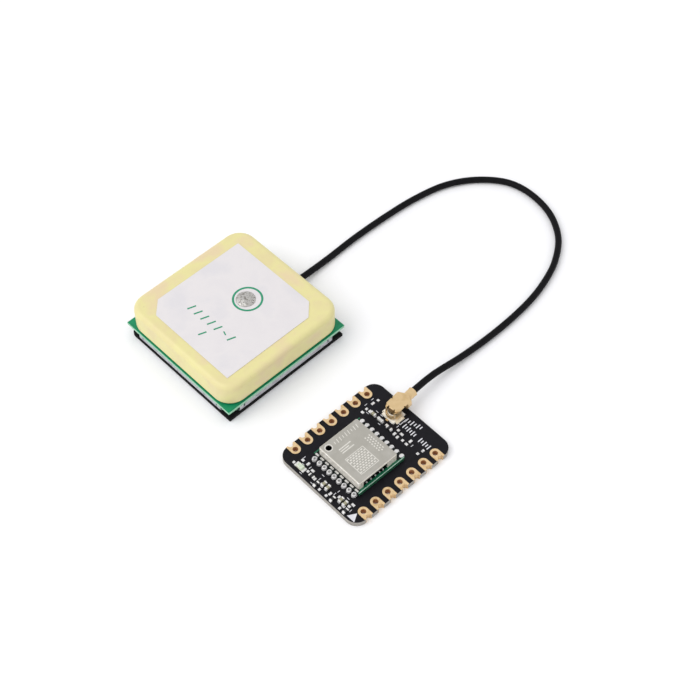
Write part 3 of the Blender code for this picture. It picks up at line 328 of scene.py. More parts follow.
def coat(piece, *finishes):
    """Puts these materials on a piece, in the order of its faces' material numbers."""
    piece.data.materials.clear()
    for made in finishes:
        piece.data.materials.append(made)


def fit(piece, slot=None, *replaced):
    """The piece rides with the object and stands for these solids, which it hides. The slot is not used."""
    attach(piece, "root")
    if replaced:
        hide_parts(*replaced)


gap = 0.03
board_top = 1.0
board_low, board_high = (-10.3, -8.85, 0.0), (10.5, 8.85, board_top)
board_corner = 2.0
pad_row = 7.62
pad_pitch = 2.54
pad_edge = 1.23
pad_radius = 0.84
pad_hole = 0.45
pad_notch = 0.5
pad_sheet = 0.06
below, above = -1.0, 2.0
pad_spots = {}
for row, side, turn in (("left", 1, 0.0), ("right", -1, 180.0)):
    for number in range(7):
        pad_spots[f"{row}_pad_{number + 1}"] = laid((number - 3) * pad_pitch, side * pad_row, turn=turn)


def pad_plate(name, growth, low, high):
    """A plate in a pad's outline, round at its inner end and square at the board's edge."""
    plate = hoop(name, 48, pad_radius + growth, (0.0, 0.0, low))
    pick(plate, "verts", lambda v: v.co.y > hair)
    bpy.ops.mesh.delete(type="VERT")
    close()
    pick(plate, "verts", lambda v: v.co.y > -hair)
    pull(0.0, pad_edge + growth, 0.0)
    bpy.ops.mesh.select_all(action="SELECT")
    bpy.ops.mesh.edge_face_add()
    pull(0.0, 0.0, high - low)
    close_outward()
    return plate


def at_every_pad(shape):
    """The shape copied to each pad's place, as one object."""
    copies = [twin(shape, "tool", spot) for spot in pad_spots.values()]
    bpy.data.objects.remove(shape)
    return joined(copies)


board = block("board", board_low, board_high)
pick(board, "edges", upright)
bevel_picked(board_corner, 10)
plating = pad_sheet + gap
hole = drum("hole", pad_hole + plating, below, above)
notch = drum("notch", pad_notch + plating, below, above, 0.0, pad_edge)
cut(board, at_every_pad(joined([hole, notch])))
cut(board, at_every_pad(pad_plate("recess", gap, below, plating)))
soften(board, 0.02, 1)
mask = finish(
    "black_mask", [tone(10, 9, 14), tone(17, 16, 22), tone(13, 12, 17)], 1.6, (0.36, 0.5),
    relief=0.004, grain=0.09, fleck=(tone(34, 33, 42), 0.35, 0.06), Specular_IOR_Level=0.16,
)
laminate = finish(
    "laminate", [tone(164, 160, 153), tone(144, 139, 131), tone(182, 179, 174)], 0.5, (0.55, 0.75),
    relief=0.02, grain=0.12, stretch=(1, 1, 7),
)
coat(board, mask, laminate)
for face in board.data.polygons:
    face.material_index = int(abs(face.normal.z) < 0.5)
fit(board, "black_solder_mask", "carrier_board")


# Edge pads.
# Fourteen lands of gilded copper, each with a plated hole and a plated half hole at the board's edge.
# It is a little flecked. Inside the round holes it is painted darker and redder: painted shade.

land_foot = board_top + gap
pad = pad_plate("pad", 0.0, land_foot, land_foot + pad_sheet)
cut(pad, pad_plate("lower_land", 0.0, 0.0, pad_sheet), "UNION")
barrel_low, barrel_high = pad_sheet / 2, land_foot + pad_sheet / 2
cut(pad, drum("barrel", pad_hole + pad_sheet, barrel_low, barrel_high), "UNION")
half_barrel = drum("half_barrel", pad_notch + pad_sheet, barrel_low, barrel_high, 0.0, pad_edge)
cut(half_barrel, block("beyond", (-2.0, pad_edge, below), (2.0, pad_edge + 2.0, above)))
cut(pad, half_barrel, "UNION")
cut(pad, drum("hole", pad_hole, below, above))
cut(pad, drum("notch", pad_notch, below, above, 0.0, pad_edge))
soften(pad, 0.018, 2)
gold = finish(
    "gold_pads", [tone(224, 194, 146), tone(234, 206, 162), tone(216, 184, 134)], 0.7, (0.34, 0.5),
    metallic=0.85, relief=0.006, grain=0.12, fleck=(tone(184, 144, 98), 0.25, 0.04),
)
painted_barrel_shade = finish(
    "plated_barrel_painted_shade", [tone(204, 152, 104), tone(176, 122, 78)], 0.3, (0.4, 0.6), metallic=0.25, relief=0.01
)
# The wall of each round hole takes a darker, redder finish than the lands: painted shade.
coat(pad, gold, painted_barrel_shade)
for face in pad.data.polygons:
    in_hole = face.center.xy.length < (pad_hole + 0.01) * MM
    face.material_index = int(abs(face.normal.z) < 0.5 and in_hole)
for name, spot in pad_spots.items():
    fit(twin(pad, "plated_" + name, spot), "gold_plating", name)
bpy.data.objects.remove(pad)


# Receiver module's board.
# A small laminate board under a dark green mask, with nine half holes along each of two sides.
# Solder fills the half holes and ties them to the carrier's lands.


def at(axis, value, slack=0.002):
    """A test for parts of a mesh that lie wholly at a level of an axis, in mm."""
    def test(part):
        points = part.verts if hasattr(part, "verts") else [part]
        return all(abs(v.co[axis] / MM - value) < slack for v in points)
    return test


def slice_across(obj, axis, value):
    """Cuts new edges round an object at a level of an axis, in mm."""
    pick(obj, "faces", lambda f: True)
    place, normal = Vector((0.0, 0.0, 0.0)), Vector((0.0, 0.0, 0.0))
    place[axis] = value * MM
    normal[axis] = 1.0
    bpy.ops.mesh.bisect(plane_co=place, plane_no=normal)
    close()


def swell(x, y, about=(0.0, 0.0, 0.0), up=1.0):
    """Scales what is picked about a point, in mm, and closes the mesh."""
    bpy.ops.transform.resize(value=(x, y, up), center_override=metres(*about))
    close()


seat = board_top + gap
module_low, module_high = (-6.35, -5.25, seat), (3.35, 4.85, seat + 0.8)
can_low, can_high = (-5.85, -4.825, 1.86), (2.15, 4.225, 3.46)
joint_pitch = 1.1
joint_middle = -0.2
joint_ys = [joint_middle + (number - 4) * joint_pitch for number in range(9)]
module = block("module_laminate", module_low, module_high)
cut(module, joined([
    drum("half_hole", 0.27, 0.0, 3.0, x, y, 24) for x in (module_low[0], module_high[0]) for y in joint_ys
]))
soften(module, 0.03, 1)

under_can = 0.09
past_joints = 0.42
foot_left, foot_right = can_low[0] + under_can, can_high[0] - under_can
foot_front = can_low[1] + under_can
joints_from, joints_to = joint_ys[0] - past_joints, joint_ys[-1] + past_joints
for level in (foot_left, foot_right):
    slice_across(module, 0, level)
for level in (joints_from, foot_front, joints_to):
    slice_across(module, 1, level)
coat(
    module,
    finish(
        "green_mask_dark", [tone(8, 84, 56), tone(14, 104, 70), tone(10, 92, 62)], 0.8, (0.28, 0.42),
        relief=0.004, fleck=(tone(30, 124, 90), 0.3, 0.06), Specular_IOR_Level=0.35,
    ),
    finish(
        "module_edge", [tone(30, 92, 64), tone(22, 72, 50)], 0.4, (0.4, 0.6),
        relief=0.01, stretch=(1, 1, 6),
    ),
    finish("module_rim_painted_highlight", [tone(176, 206, 186), tone(140, 184, 160)], 0.5, (0.35, 0.5), relief=0.006),
    finish(
        "module_painted_shade", [tone(12, 16, 16), tone(20, 28, 26)], 0.5, (0.4, 0.6),
        relief=0.004, Specular_IOR_Level=0.2,
    ),
)
green, cut_edge, rim, dark = range(4)
# Top faces beside the can and the board's end faces in X take a near-black finish: painted shade.
for face in module.data.polygons:
    spot = face.center / MM
    slope = abs(face.normal.z)
    beside = foot_front < spot.y < joints_to
    outside = spot.x < foot_left or spot.x > foot_right
    if slope > 0.9:
        shaded = beside or (outside and joints_from < spot.y < can_low[1] + 0.2)
        face.material_index = dark if shaded else green
    # The rounded edge along the top at low Y takes a pale finish: a painted highlight.
    elif slope > 0.5 and spot.y < module_low[1] + 0.1 and spot.z > module_high[2] - 0.1:
        face.material_index = rim
    else:
        face.material_index = dark if abs(face.normal.x) > 0.5 else cut_edge
fit(module, "dark_green_solder_mask", "module_board")

solder = finish(
    "solder_joints", [tone(206, 205, 204), tone(234, 233, 232), tone(176, 175, 175)], 0.3, (0.22, 0.42),
    metallic=0.45, relief=0.05, grain=0.16, fleck=(tone(104, 100, 94), 0.2, 0.1),
)
solder_well_painted_shade = finish(
    "solder_well_painted_shade", [tone(158, 157, 156), tone(124, 123, 122)], 0.25, (0.3, 0.5), metallic=0.6, relief=0.03
)
drop_radius, drop_height = 0.47, 0.42
drop_top = seat + drop_height
drop = drum("solder_drop", drop_radius, seat, drop_top, sides=32)
pick(drop, "faces", at(2, drop_top))
swell(0.84, 0.84)
pick(drop, "verts", lambda v: True)
swell(1.12, 0.98)
full_drop = twin(drop, "full_drop", Matrix())
pick(full_drop, "faces", at(2, drop_top))
bpy.ops.transform.translate(value=(0.0, 0.0, 0.4 * MM))
bpy.ops.mesh.select_all(action="SELECT")
swell(1.08, 1.02)
soften(full_drop, 0.16, 4, 25.0)
coat(full_drop, solder)
pick(drop, "faces", at(2, drop_top))
bpy.ops.mesh.inset(thickness=0.19 * MM, depth=0.0)
bpy.ops.mesh.inset(thickness=0.08 * MM, depth=-0.05 * MM)
close()
soften(drop, 0.08, 4, 25.0)
coat(drop, solder, solder_well_painted_shade)
# The well in the top of each drop at low X is painted darker than the solder: painted shade.
for face in drop.data.polygons:
    face.material_index = int(face.center.xy.length < 0.2 * MM and face.center.z > (seat + 0.3) * MM)
joints = []
for shape, x, shift in ((drop, -6.7, 0.0), (full_drop, 3.14, -0.12)):
    joints += [twin(shape, "module_joints", laid(x, y + shift)) for y in joint_ys]
    bpy.data.objects.remove(shape)
fit(joined(joints), "solder", "module_board")

skin = 0.001
land_half = (0.17, 0.36)
land = block(
    "land", (-land_half[0], -land_half[1], module_high[2] + skin), (*land_half, module_high[2] + 0.03)
)
pick(land, "edges", upright)
bevel_picked(0.1, 3)
soften(land, 0.01, 1)
coat(land, finish(
    "worn_tin", [tone(184, 182, 178), tone(212, 211, 208), tone(136, 134, 130)], 0.3, (0.3, 0.5),
    metallic=0.5, relief=0.02, grain=0.12,
))
lands = [twin(land, "module_lands", laid(-6.16, y)) for y in joint_ys]
bpy.data.objects.remove(land)
fit(joined(lands), "solder")


# Receiver module's can.
# Drawn from thin nickel-silver sheet, with rounded folds, a vent hole and a window in its wall at low Y.
# Its top carries light etched marks, and small tinned parts show in the window.


def thicken(shell, thickness):
    """Gives an open shell the thickness of its sheet, in mm, towards its inside."""
    step = shell.modifiers.new("sheet", "SOLIDIFY")
    step.thickness = thickness * MM
    step.offset = -1.0
    apply(shell, step)


vent_x, vent_y = -4.75, 3.125
through_top = (3.0, 4.0)
can = block("module_shield", can_low, can_high)
pick(can, "edges", upright)
bevel_picked(0.3, 5)
pick(can, "edges", at(2, can_high[2]))
bevel_picked(0.16, 4)
pick(can, "faces", at(2, can_low[2]))
bpy.ops.mesh.delete(type="FACE")
close()
thicken(can, 0.18)
cut(can, drum("vent", 0.5, *through_top, vent_x, vent_y))
cut(can, block("window", (-4.95, -5.5, 1.5), (0.05, -4.4, 3.12)))
soften(can, 0.02, 2)
# The walls and folds take a lighter, less metallic finish than the top: a painted reflection of the bright
# table.
coat(
    can,
    finish(
        "nickel_silver_sheet", [tone(182, 179, 170), tone(176, 173, 164), tone(187, 184, 176)],
        3.0, (0.44, 0.56), metallic=0.8, relief=0.002, grain=0.08,
    ),
    finish(
        "nickel_silver_painted_reflection", [tone(224, 220, 210), tone(208, 203, 192), tone(236, 233, 226)],
        0.6, (0.38, 0.5), metallic=0.35, relief=0.006, grain=0.12, fleck=(tone(160, 156, 144), 0.2, 0.12),
    ),
    finish("can_inside_painted_shade", [tone(70, 69, 66), tone(54, 53, 51)], 0.6, (0.45, 0.6), metallic=0.5, relief=0.004),
)
can_top, can_walls_painted_reflection, can_inside_painted_shade = range(3)
sheet = 0.1
# The inner faces of the sheet take a dark finish: painted shade.
for face in can.data.polygons:
    spot = face.center / MM
    inward = all(can_low[axis] + sheet < spot[axis] < can_high[axis] - sheet for axis in (0, 1))
    if inward and spot.z < can_high[2] - sheet:
        face.material_index = can_inside_painted_shade
    else:
        face.material_index = can_top if face.normal.z >= 0.95 else can_walls_painted_reflection
fit(can, "nickel_silver", "module_can")

mark_level = can_high[2] + skin
mark_height = 0.008


def stroke(name, length, width, x, y, turn=0.0, height=mark_height, level=mark_level):
    """A flat bar of a length and a width, in mm, laid on a surface."""
    bar = block(name, (-length / 2, -width / 2, level), (length / 2, width / 2, level + height))
    bar.data.transform(laid(x, y, turn=turn))
    return bar


def etch(length, width, x, y, turn=0.0):
    etched.append(stroke("etched_marks", length, width, x, y, turn))


etched = []
for number in range(9):
    etch(0.12, 0.8 if number % 3 else 0.5, -3.45 + 0.58 * number, 3.15, -10.0)
for number, length in enumerate((2.4, 1.7, 2.4)):
    etch(length, 0.17, -3.9 + length / 2, 1.75 - 0.4 * number)
for row in range(3):
    for number in range(7):
        etch(0.2, 0.26, 1.4 - 0.42 * row, 0.6 - 0.5 * number - 0.25 * (row % 2))
field_x, field_y, field_half = -2.55, -1.95, 1.8
for side in (-field_half, field_half):
    etch(3.7, 0.1, field_x, field_y + side)
    etch(0.1, 3.5, field_x + side, field_y)
for row in range(9):
    for number in range(6):
        x = field_x + (number - 2.75 + 0.5 * (row % 2)) * 0.56
        etch(0.38, 0.2, x, field_y + (row - 4) * 0.375)
vent_ring = drum("etched_marks", 0.66, mark_level, mark_level + mark_height, vent_x, vent_y)
cut(vent_ring, drum("vent", 0.53, *through_top, vent_x, vent_y))
etched = joined([*etched, vent_ring])
coat(etched, finish(
    "etched_mark", [tone(214, 211, 203), tone(224, 222, 215)], 0.4, (0.6, 0.75),
    metallic=0.3, relief=0.004, grain=0.06,
))
fit(etched, "nickel_silver")

# A thin pale line along the module's top at its low-Y edge: a painted highlight.
edge_line = stroke("module_edge_line", 9.5, 0.07, -1.5, -5.17, level=module_high[2] + skin)
coat(edge_line, finish("painted_edge_highlight", [tone(190, 214, 200), tone(160, 196, 178)], 0.5, (0.4, 0.6), relief=0.004))
fit(edge_line)
tin = finish(
    "tinned_ends", [tone(216, 215, 211), tone(234, 233, 230), tone(198, 197, 194)], 0.3, (0.3, 0.46),
    metallic=0.5, relief=0.01,
)
in_window = []
for x in (-4.1, -3.2, -2.3, -1.4, -0.7):
    in_window.append(stroke("window_parts", 0.22, 0.24, x, -4.6, height=0.3, level=module_high[2] + 2 * skin))
    soften(in_window[-1], 0.04, 2)
in_window = joined(in_window)
coat(in_window, tin)
fit(in_window)

for name, colours, patch, rough, metallic in (
    ("receiver_chip", [tone(38, 38, 40), tone(50, 50, 52)], 0.6, (0.45, 0.65), 0.0),
    ("oscillator", [tone(200, 198, 190), tone(180, 178, 170)], 0.6, (0.25, 0.4), 1.0),
    ("module_filter", [tone(222, 220, 214), tone(205, 204, 198)], 0.5, (0.35, 0.5), 0.2),
):
    case = finish(name + "_case", colours, patch, rough, metallic=metallic, relief=0.004, grain=0.05)
    coat(solid[name], case)


# Chip capacitors, resistors and the inductor.
# Tiny ceramic bodies between two tinned ends, each soldered to the board with a small fillet at either end.
# The capacitors are grey-green, the resistors have a black glaze and the inductor is pale.

chip_half = 0.5
chip_end = 0.25
chip_side = 0.26
chip_lip = 0.03
fillet_reach = 0.60


def chip(name, height, body_finish):
    """A chip part along X, with its foot at level 0 and its middle at the origin."""
    side = chip_side - chip_lip
    body = block(name, (-chip_end, -side, chip_lip), (chip_end, side, height - chip_lip))
    soften(body, 0.03, 2)
    coat(body, body_finish)
    parts = [body]
    for way in (-1, 1):
        xs = sorted((way * chip_end, way * chip_half))
        end = block("end", (xs[0], -chip_side, 0.0), (xs[1], chip_side, height))
        soften(end, 0.045, 3)
        coat(end, tin)
        xs = sorted((way * (chip_half - 0.01), way * fillet_reach))
        fillet_top = height * 0.62
        fillet = block("fillet", (xs[0], 0.02 - chip_side, 0.0), (xs[1], chip_side - 0.02, fillet_top))
        pick(fillet, "edges", lambda e: at(0, way * fillet_reach)(e) and at(2, fillet_top)(e))
        bpy.ops.transform.translate(value=(0.0, 0.0, -height * 0.5 * MM))
        close()
        soften(fillet, 0.02, 2)
        coat(fillet, solder)
        parts += [end, fillet]
    return joined(parts)


capacitors = [f"capacitor_{number}" for number in range(1, 6)]
resistors = [f"resistor_{number}" for number in range(1, 6)]
grey_green = [tone(136, 132, 106), tone(158, 154, 128), tone(146, 142, 118)]
for kind, height, slot, names, colours in (
    ("capacitor", 0.5, "capacitor_ceramic", capacitors, grey_green),
    ("resistor", 0.34, "resistor_glaze", resistors, [tone(24, 24, 27), tone(34, 34, 38)]),
    ("choke", 0.5, "inductor_ceramic", ["inductor"], [tone(206, 206, 202), tone(188, 188, 186)]),
):
    master = chip(kind, height, finish(kind + "_body", colours, 0.3, (0.35, 0.55), relief=0.006, grain=0.06))
    for name in names:
        low, high = (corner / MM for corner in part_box(name))
        turn = 90.0 if high.y - low.y > high.x - low.x else 0.0
        spot = laid((low.x + high.x) / 2, (low.y + high.y) / 2, low.z, turn)
        fit(twin(master, "chip_" + name, spot), slot, name)
    bpy.data.objects.remove(master)


# Tinned lands and printed marks.
# Spare lands with a little solder on each, and white marks printed on the mask:
# a triangle at the board's first corner, a bracket beside the connector and short bars.

land_spots = (
    (5.62, 5.59), (4.71, 5.58), (7.09, 5.69), (8.1, 5.55), (5.72, 4.92), (5.83, 3.0), (5.81, 1.25),
    (6.76, 1.15), (5.55, -0.76), (6.45, -0.7), (5.42, -1.51), (6.3, -1.6), (5.6, -2.5), (5.55, -3.4),
    (6.4, -3.46), (5.6, -5.85), (6.54, -6.03), (-7.95, -5.74), (-9.35, 6.04), (-8.1, 5.35), (-7.98, 4.28),
    (-8.9, 3.3), (-9.05, 1.6), (-8.3, 2.9), (-9.81, -0.25), (-8.9, 0.15), (-9.12, -1.92), (-9.79, -1.75),
    (-8.53, -3.3), (-9.16, -4.9), (-9.8, -4.75), (-8.58, -5.5),
)
print_level = board_top + 2 * skin
dab_top = board_top + 0.12
dab = block("dab", (-0.26, -0.22, print_level), (0.26, 0.22, dab_top))
pick(dab, "faces", at(2, dab_top))
swell(0.86, 0.84)
soften(dab, 0.025, 2)
coat(dab, solder)
dabs = []
for number, (x, y) in enumerate(land_spots):
    size = Matrix.Diagonal((0.9 + 0.2 * (number % 3), 1.02, 1.0, 1.0))
    dabs.append(twin(dab, "tinned_lands", laid(x, y, turn=90.0 * (number % 2)) @ size))
bpy.data.objects.remove(dab)
fit(joined(dabs), "solder")


def ink(length, width, x, y, turn=0.0):
    printed.append(stroke("printed_marks", length, width, x, y, turn, level=print_level))


printed = []
ink(0.62, 0.12, 7.41, 0.2, 90.0)
ink(1.4, 0.12, 8.1, -0.1, 2.0)
for first, last, count in (
    ((8.7, -0.2), (9.35, -2.8), 6),
    ((7.75, -0.75), (7.68, -3.1), 6),
    ((7.66, -4.3), (7.66, -6.2), 5),
):
    for number in range(count):
        x, y = Vector(first).lerp(Vector(last), number / (count - 1))
        ink(0.6 if number % 2 else 0.95, 0.18, x, y)
for x, y, turn in (
    (6.1, 6.3, 0.0), (7.6, 6.35, 0.0), (5.2, 5.0, 90.0), (6.5, 4.1, 90.0), (6.5, 3.1, 90.0), (5.1, 2.2, 90.0),
    (6.9, -0.1, 0.0), (6.0, -4.2, 0.0), (-9.9, 3.9, 90.0), (-8.55, 4.8, 90.0), (-8.2, 3.6, 0.0),
    (-7.7, 1.2, 90.0), (-8.5, 1.1, 0.0), (-7.9, -2.5, 0.0), (-9.9, 1.4, 90.0), (-8.6, -2.4, 0.0),
    (-7.7, -4.4, 90.0), (-8.9, -6.2, 0.0), (-7.6, 5.6, 0.0),
):
    ink(0.5, 0.1, x, y, turn)
triangle = hoop("printed_marks", 3, 0.92, (0.0, 0.0, print_level), fill="NGON")
triangle.data.transform(laid(-9.42, -7.2, turn=-90.0))
pick(triangle, "faces", lambda f: True)
pull(0.0, 0.0, mark_height)
close_outward()
printed = joined([*printed, triangle])
coat(printed, finish(
    "white_ink", [tone(222, 222, 226), tone(206, 206, 211)], 0.4, (0.5, 0.65),
    relief=0.006, fleck=(tone(150, 150, 156), 0.15, 0.05),
))
fit(printed)


# Status light.
# A cream laminate base with tinned ends carries a cast block of pale green resin.
# It is soldered near the board's edge at low X, beside the receiver module.

lamp_spot = laid(-9.25, 4.62, board_top + gap)
base_half = (0.40, 0.62)
end_half = (0.45, 1.0)
base = block("lamp_base", (-base_half[0], -base_half[1], 0.0), (*base_half, 0.22))
soften(base, 0.02, 1)
coat(base, finish(
    "lamp_base_laminate", [tone(228, 224, 206), tone(214, 208, 188)], 0.3, (0.4, 0.6), relief=0.006
))
parts = [base]
for side in (-1, 1):
    ys = sorted((side * base_half[1], side * end_half[1]))
    end = block("end", (-end_half[0], ys[0], 0.0), (end_half[0], ys[1], 0.24))
    soften(end, 0.03, 2)
    coat(end, tin)
    parts.append(end)
base = joined(parts)
fit(twin(base, "light_base", lamp_spot), "led_body", "led_base")
bpy.data.objects.remove(base)
lens_top = 0.61
lens = block("lamp_lens", (-0.42, -0.6, 0.25), (0.42, 0.6, lens_top))
pick(lens, "faces", at(2, lens_top))
swell(0.82, 0.87, about=(0.0, 0.0, lens_top))
soften(lens, 0.05, 4)
coat(lens, finish(
    "lamp_resin", [tone(226, 230, 212), tone(206, 224, 196), tone(236, 236, 222)], 0.5, (0.08, 0.16),
    relief=0.003, Transmission_Weight=0.2,
))
fit(twin(lens, "light_lens", lamp_spot), "led_resin", "led_lens")
bpy.data.objects.remove(lens)


# Socket of the coaxial connector.
# A cream moulded base holds a gold ring, whose two arms are soldered down, round a gold pin.
# The solids have the right shape, so only their finishes are given here.

connector_gold = finish(
    "gold_connector", [tone(216, 187, 139), tone(222, 194, 148), tone(210, 180, 131)], 1.6, (0.28, 0.4),
    metallic=0.75, relief=0.002, grain=0.12,
)
coat(solid["socket_ring"], finish(
    "pale_gold", [tone(240, 228, 202), tone(248, 240, 222), tone(222, 202, 166)], 0.8, (0.3, 0.46),
    metallic=0.5, relief=0.004,
))
coat(solid["socket_pin"], connector_gold)
coat(solid["socket_base"], finish(
    "cream_moulding", [tone(248, 244, 234), tone(236, 230, 216)], 0.4, (0.4, 0.6), relief=0.006
))


# Plug on the cable.
# Folded from gilded sheet: a flat cap, a slotted skirt that grips the socket's ring, shoulders and a barrel.
# An insulator and the contact are inside it.

plug_spot = laid(7.9, 1.9, board_top + gap, 6.0)
sideways = math.pi / 2
cap_middle = 0.55
cap_half = 1.35
cap_front = cap_middle - 1.15
cap_low, cap_high = 2.2, 2.4
cap = block("plug", (cap_front, -cap_half, cap_low), (cap_middle + cap_half, cap_half, cap_high))
pick(cap, "edges", lambda e: upright(e) and e.verts[0].co.x < 0.0)
bevel_picked(0.42, 1)
for y in (0.62, -0.52):
    cut(cap, block("slot", (-2.0, y - 0.1, 2.0), (cap_front + 0.3, y + 0.1, 3.0)))
for y in (-1.5, 1.15):
    cut(cap, block("nick", (1.0, y, 2.0), (1.24, y + 0.35, 3.0)))
soften(cap, 0.06, 3)
tongue = block("tongue", (cap_front, -0.4, 1.75), (cap_front + 0.16, 0.5, 2.36))
soften(tongue, 0.06, 3)

skirt_radius, skirt_bore = 1.28, 1.08
skirt = drum("skirt", skirt_radius, 0.57, 2.19, sides=64)
cut(skirt, drum("inside", skirt_bore, 0.0, 2.6, sides=64))
for side in (-1, 1):
    y = side * skirt_radius / math.sqrt(2)
    cut(skirt, block("slot", (-2.0, y - 0.125, 0.0), (0.0, y + 0.125, 1.95)))
cut(skirt, block("open_front", (-2.0, -2.0, 1.25), (cap_middle - 1.38, 2.0, 3.0)))
soften(skirt, 0.03, 2)

shoulder_back, shoulder_front = cap_middle + 1.25, cap_middle + 2.1
shoulder_level = 1.65
shoulder_width, shoulder_height = 3.0, 1.4
barrel_start = cap_middle + 2.8
barrel_radius, barrel_level = 0.785, 1.32
bpy.ops.object.select_all(action="DESELECT")
shoulder_spot = metres(shoulder_back, 0.0, shoulder_level)
bpy.ops.mesh.primitive_plane_add(
    size=shoulder_width * MM, location=shoulder_spot, rotation=(0.0, sideways, 0.0)
)
body = added("shoulders")
pick(body, "faces", lambda f: True)
bpy.ops.transform.resize(value=(1.0, 1.0, shoulder_height / shoulder_width), center_override=shoulder_spot)
bpy.ops.mesh.bevel(offset=0.4 * MM, segments=7, affect="VERTICES")
pull(shoulder_front - shoulder_back, 0.0, 0.0)
bpy.ops.mesh.delete(type="ONLY_FACE")
close()
body = joined([body, hoop("mouth", 32, barrel_radius, (barrel_start, 0.0, barrel_level), sideways)])
pick(body, "edges", lambda e: at(0, shoulder_front)(e) or at(0, barrel_start)(e))
bpy.ops.mesh.bridge_edge_loops()
close()
x = barrel_start
for step, growth in ((1.2, 1.0), (0.2, 1.09), (0.0, 0.70), (-1.1, 1.0)):
    pick(body, "edges", lambda e: at(0, x)(e) and e.is_boundary)
    pull(step, 0.0, 0.0)
    x += step
    swell(1.0, growth, (x, 0.0, barrel_level), growth)
pick(body, "edges", lambda e: e.is_boundary)
bpy.ops.mesh.edge_face_add()
close_outward()
soften(body, 0.05, 3, 30.0)
plug = joined([cap, tongue, skirt, body])
coat(plug, connector_gold)
plug.data.transform(plug_spot)
fit(plug, "gold_plating", "plug_shell")
coat(solid["plug_contact"], connector_gold)
coat(solid["plug_insulator"], finish(
    "amber_insulator", [tone(112, 84, 46), tone(90, 66, 34)], 0.4, (0.35, 0.5), relief=0.004
))


# Antenna's base pad and folded can.
# The pad is black foam tape, worn round at one corner.
# The can is folded from tinned sheet. Its corners are open and slit, and it has a notch for the cable.

stand = laid(0.84, 31.49, turn=0.9)
pad_half = 12.3
base_pad = block("foam_pad", (-pad_half, -pad_half, 0.0), (pad_half, pad_half, 0.6))
pick(base_pad, "edges", lambda e: upright(e) and e.verts[0].co.x < 0.0 < e.verts[0].co.y)
bevel_picked(1.2, 8)
soften(base_pad, 0.08, 3)
coat(base_pad, finish(
    "black_foam", [tone(14, 14, 15), tone(24, 24, 25), tone(18, 18, 19)], 0.7, (0.8, 0.95),
    relief=0.04, grain=0.22, Specular_IOR_Level=0.15,
))
base_pad.data.transform(stand)
fit(base_pad, "black_foam", "base_pad")

tray_half = 12.2
tray_foot, tray_rim = 0.63, 2.24
wall_from, wall_to = 11.7, 12.7
slit_from, slit_to = 8.95, 9.2
slit_foot, over_rim = 1.03, 3.0
cable_way = 0.665
cable_y, cable_level = 0.7, 1.455
tray = block("tray", (-tray_half, -tray_half, tray_foot), (tray_half, tray_half, tray_rim))
pick(tray, "edges", upright)
bevel_picked(2.2, 1)
pick(tray, "edges", at(2, tray_foot))
bevel_picked(0.2, 4)


def open_side(face):
    """A test for the can's mouth and for the flats across its four corners."""
    across_corner = min(abs(face.normal.x), abs(face.normal.y)) > 0.5
    return at(2, tray_rim)(face) or (across_corner and face.calc_area() > 2.0 * MM * MM)


pick(tray, "faces", open_side)
bpy.ops.mesh.delete(type="FACE")
close()
thicken(tray, 0.2)
slits = []
for sides in ((-1, -1), (-1, 1), (1, -1), (1, 1)):
    wall_x, wall_y = (sorted((side * wall_from, side * wall_to)) for side in sides)
    slit_x, slit_y = (sorted((side * slit_from, side * slit_to)) for side in sides)
    slits.append(block("slit", (wall_x[0], slit_y[0], slit_foot), (wall_x[1], slit_y[1], over_rim)))
    slits.append(block("slit", (slit_x[0], wall_y[0], slit_foot), (slit_x[1], wall_y[1], over_rim)))
cut(tray, joined(slits))
cut(tray, block(
    "cable_notch",
    (wall_from, cable_y - cable_way, cable_level), (wall_to, cable_y + cable_way, over_rim),
))
bpy.ops.object.select_all(action="DESELECT")
bpy.ops.mesh.primitive_cylinder_add(
    vertices=40, radius=cable_way * MM, depth=1.0 * MM,
    location=metres(tray_half, cable_y, cable_level), rotation=(0.0, sideways, 0.0),
)
cut(tray, added("cable_hole"))
soften(tray, 0.03, 2)
coat(tray, finish(
    "tinned_sheet", [tone(190, 189, 194), tone(206, 205, 211), tone(172, 171, 176)], 0.9, (0.3, 0.44),
    metallic=0.9, relief=0.004,
))
tray.data.transform(stand)
fit(tray, "tinned_sheet", "antenna_can")


# Antenna's board, tape and ceramic block.
# The board is laminate under a green mask. Tape holds the block, a pressed and fired ceramic with soft edges.
# A hole for the feed pin goes through all of them.

feed_x, feed_y = 2.3, -0.3


def plate(name, half, low, high):
    """A square plate of the antenna between two levels, in mm."""
    return block(name, (-half, -half, low), (half, half, high))


def drill(piece):
    """Cuts the hole for the feed pin."""
    cut(piece, drum("feed_hole", 0.57, 1.0, 9.0, feed_x, feed_y))


antenna_board = plate("antenna_laminate", 12.5, 2.27, 2.81)
drill(antenna_board)
soften(antenna_board, 0.02, 1)
coat(
    antenna_board,
    finish(
        "green_mask", [tone(8, 122, 82), tone(14, 138, 94), tone(10, 128, 88)], 1.2, (0.3, 0.45),
        relief=0.004, fleck=(tone(34, 150, 108), 0.4, 0.05), Specular_IOR_Level=0.3,
    ),
    finish(
        "pale_edge", [tone(164, 206, 178), tone(130, 188, 156), tone(188, 216, 192)], 0.5, (0.45, 0.65),
        relief=0.015, stretch=(1, 1, 6),
    ),
)
for face in antenna_board.data.polygons:
    face.material_index = int(abs(face.normal.z) < 0.5)
antenna_board.data.transform(stand)
fit(antenna_board, "green_solder_mask", "antenna_board")

tape = plate("tape", 11.6, 2.84, 3.06)
pick(tape, "edges", upright)
bevel_picked(2.45, 12)
drill(tape)
soften(tape, 0.03, 2)
coat(tape, finish("tape", [tone(96, 100, 84), tone(80, 84, 70)], 0.5, (0.7, 0.9), relief=0.02))
tape.data.transform(stand)
fit(tape, "adhesive_tape", "mounting_tape")

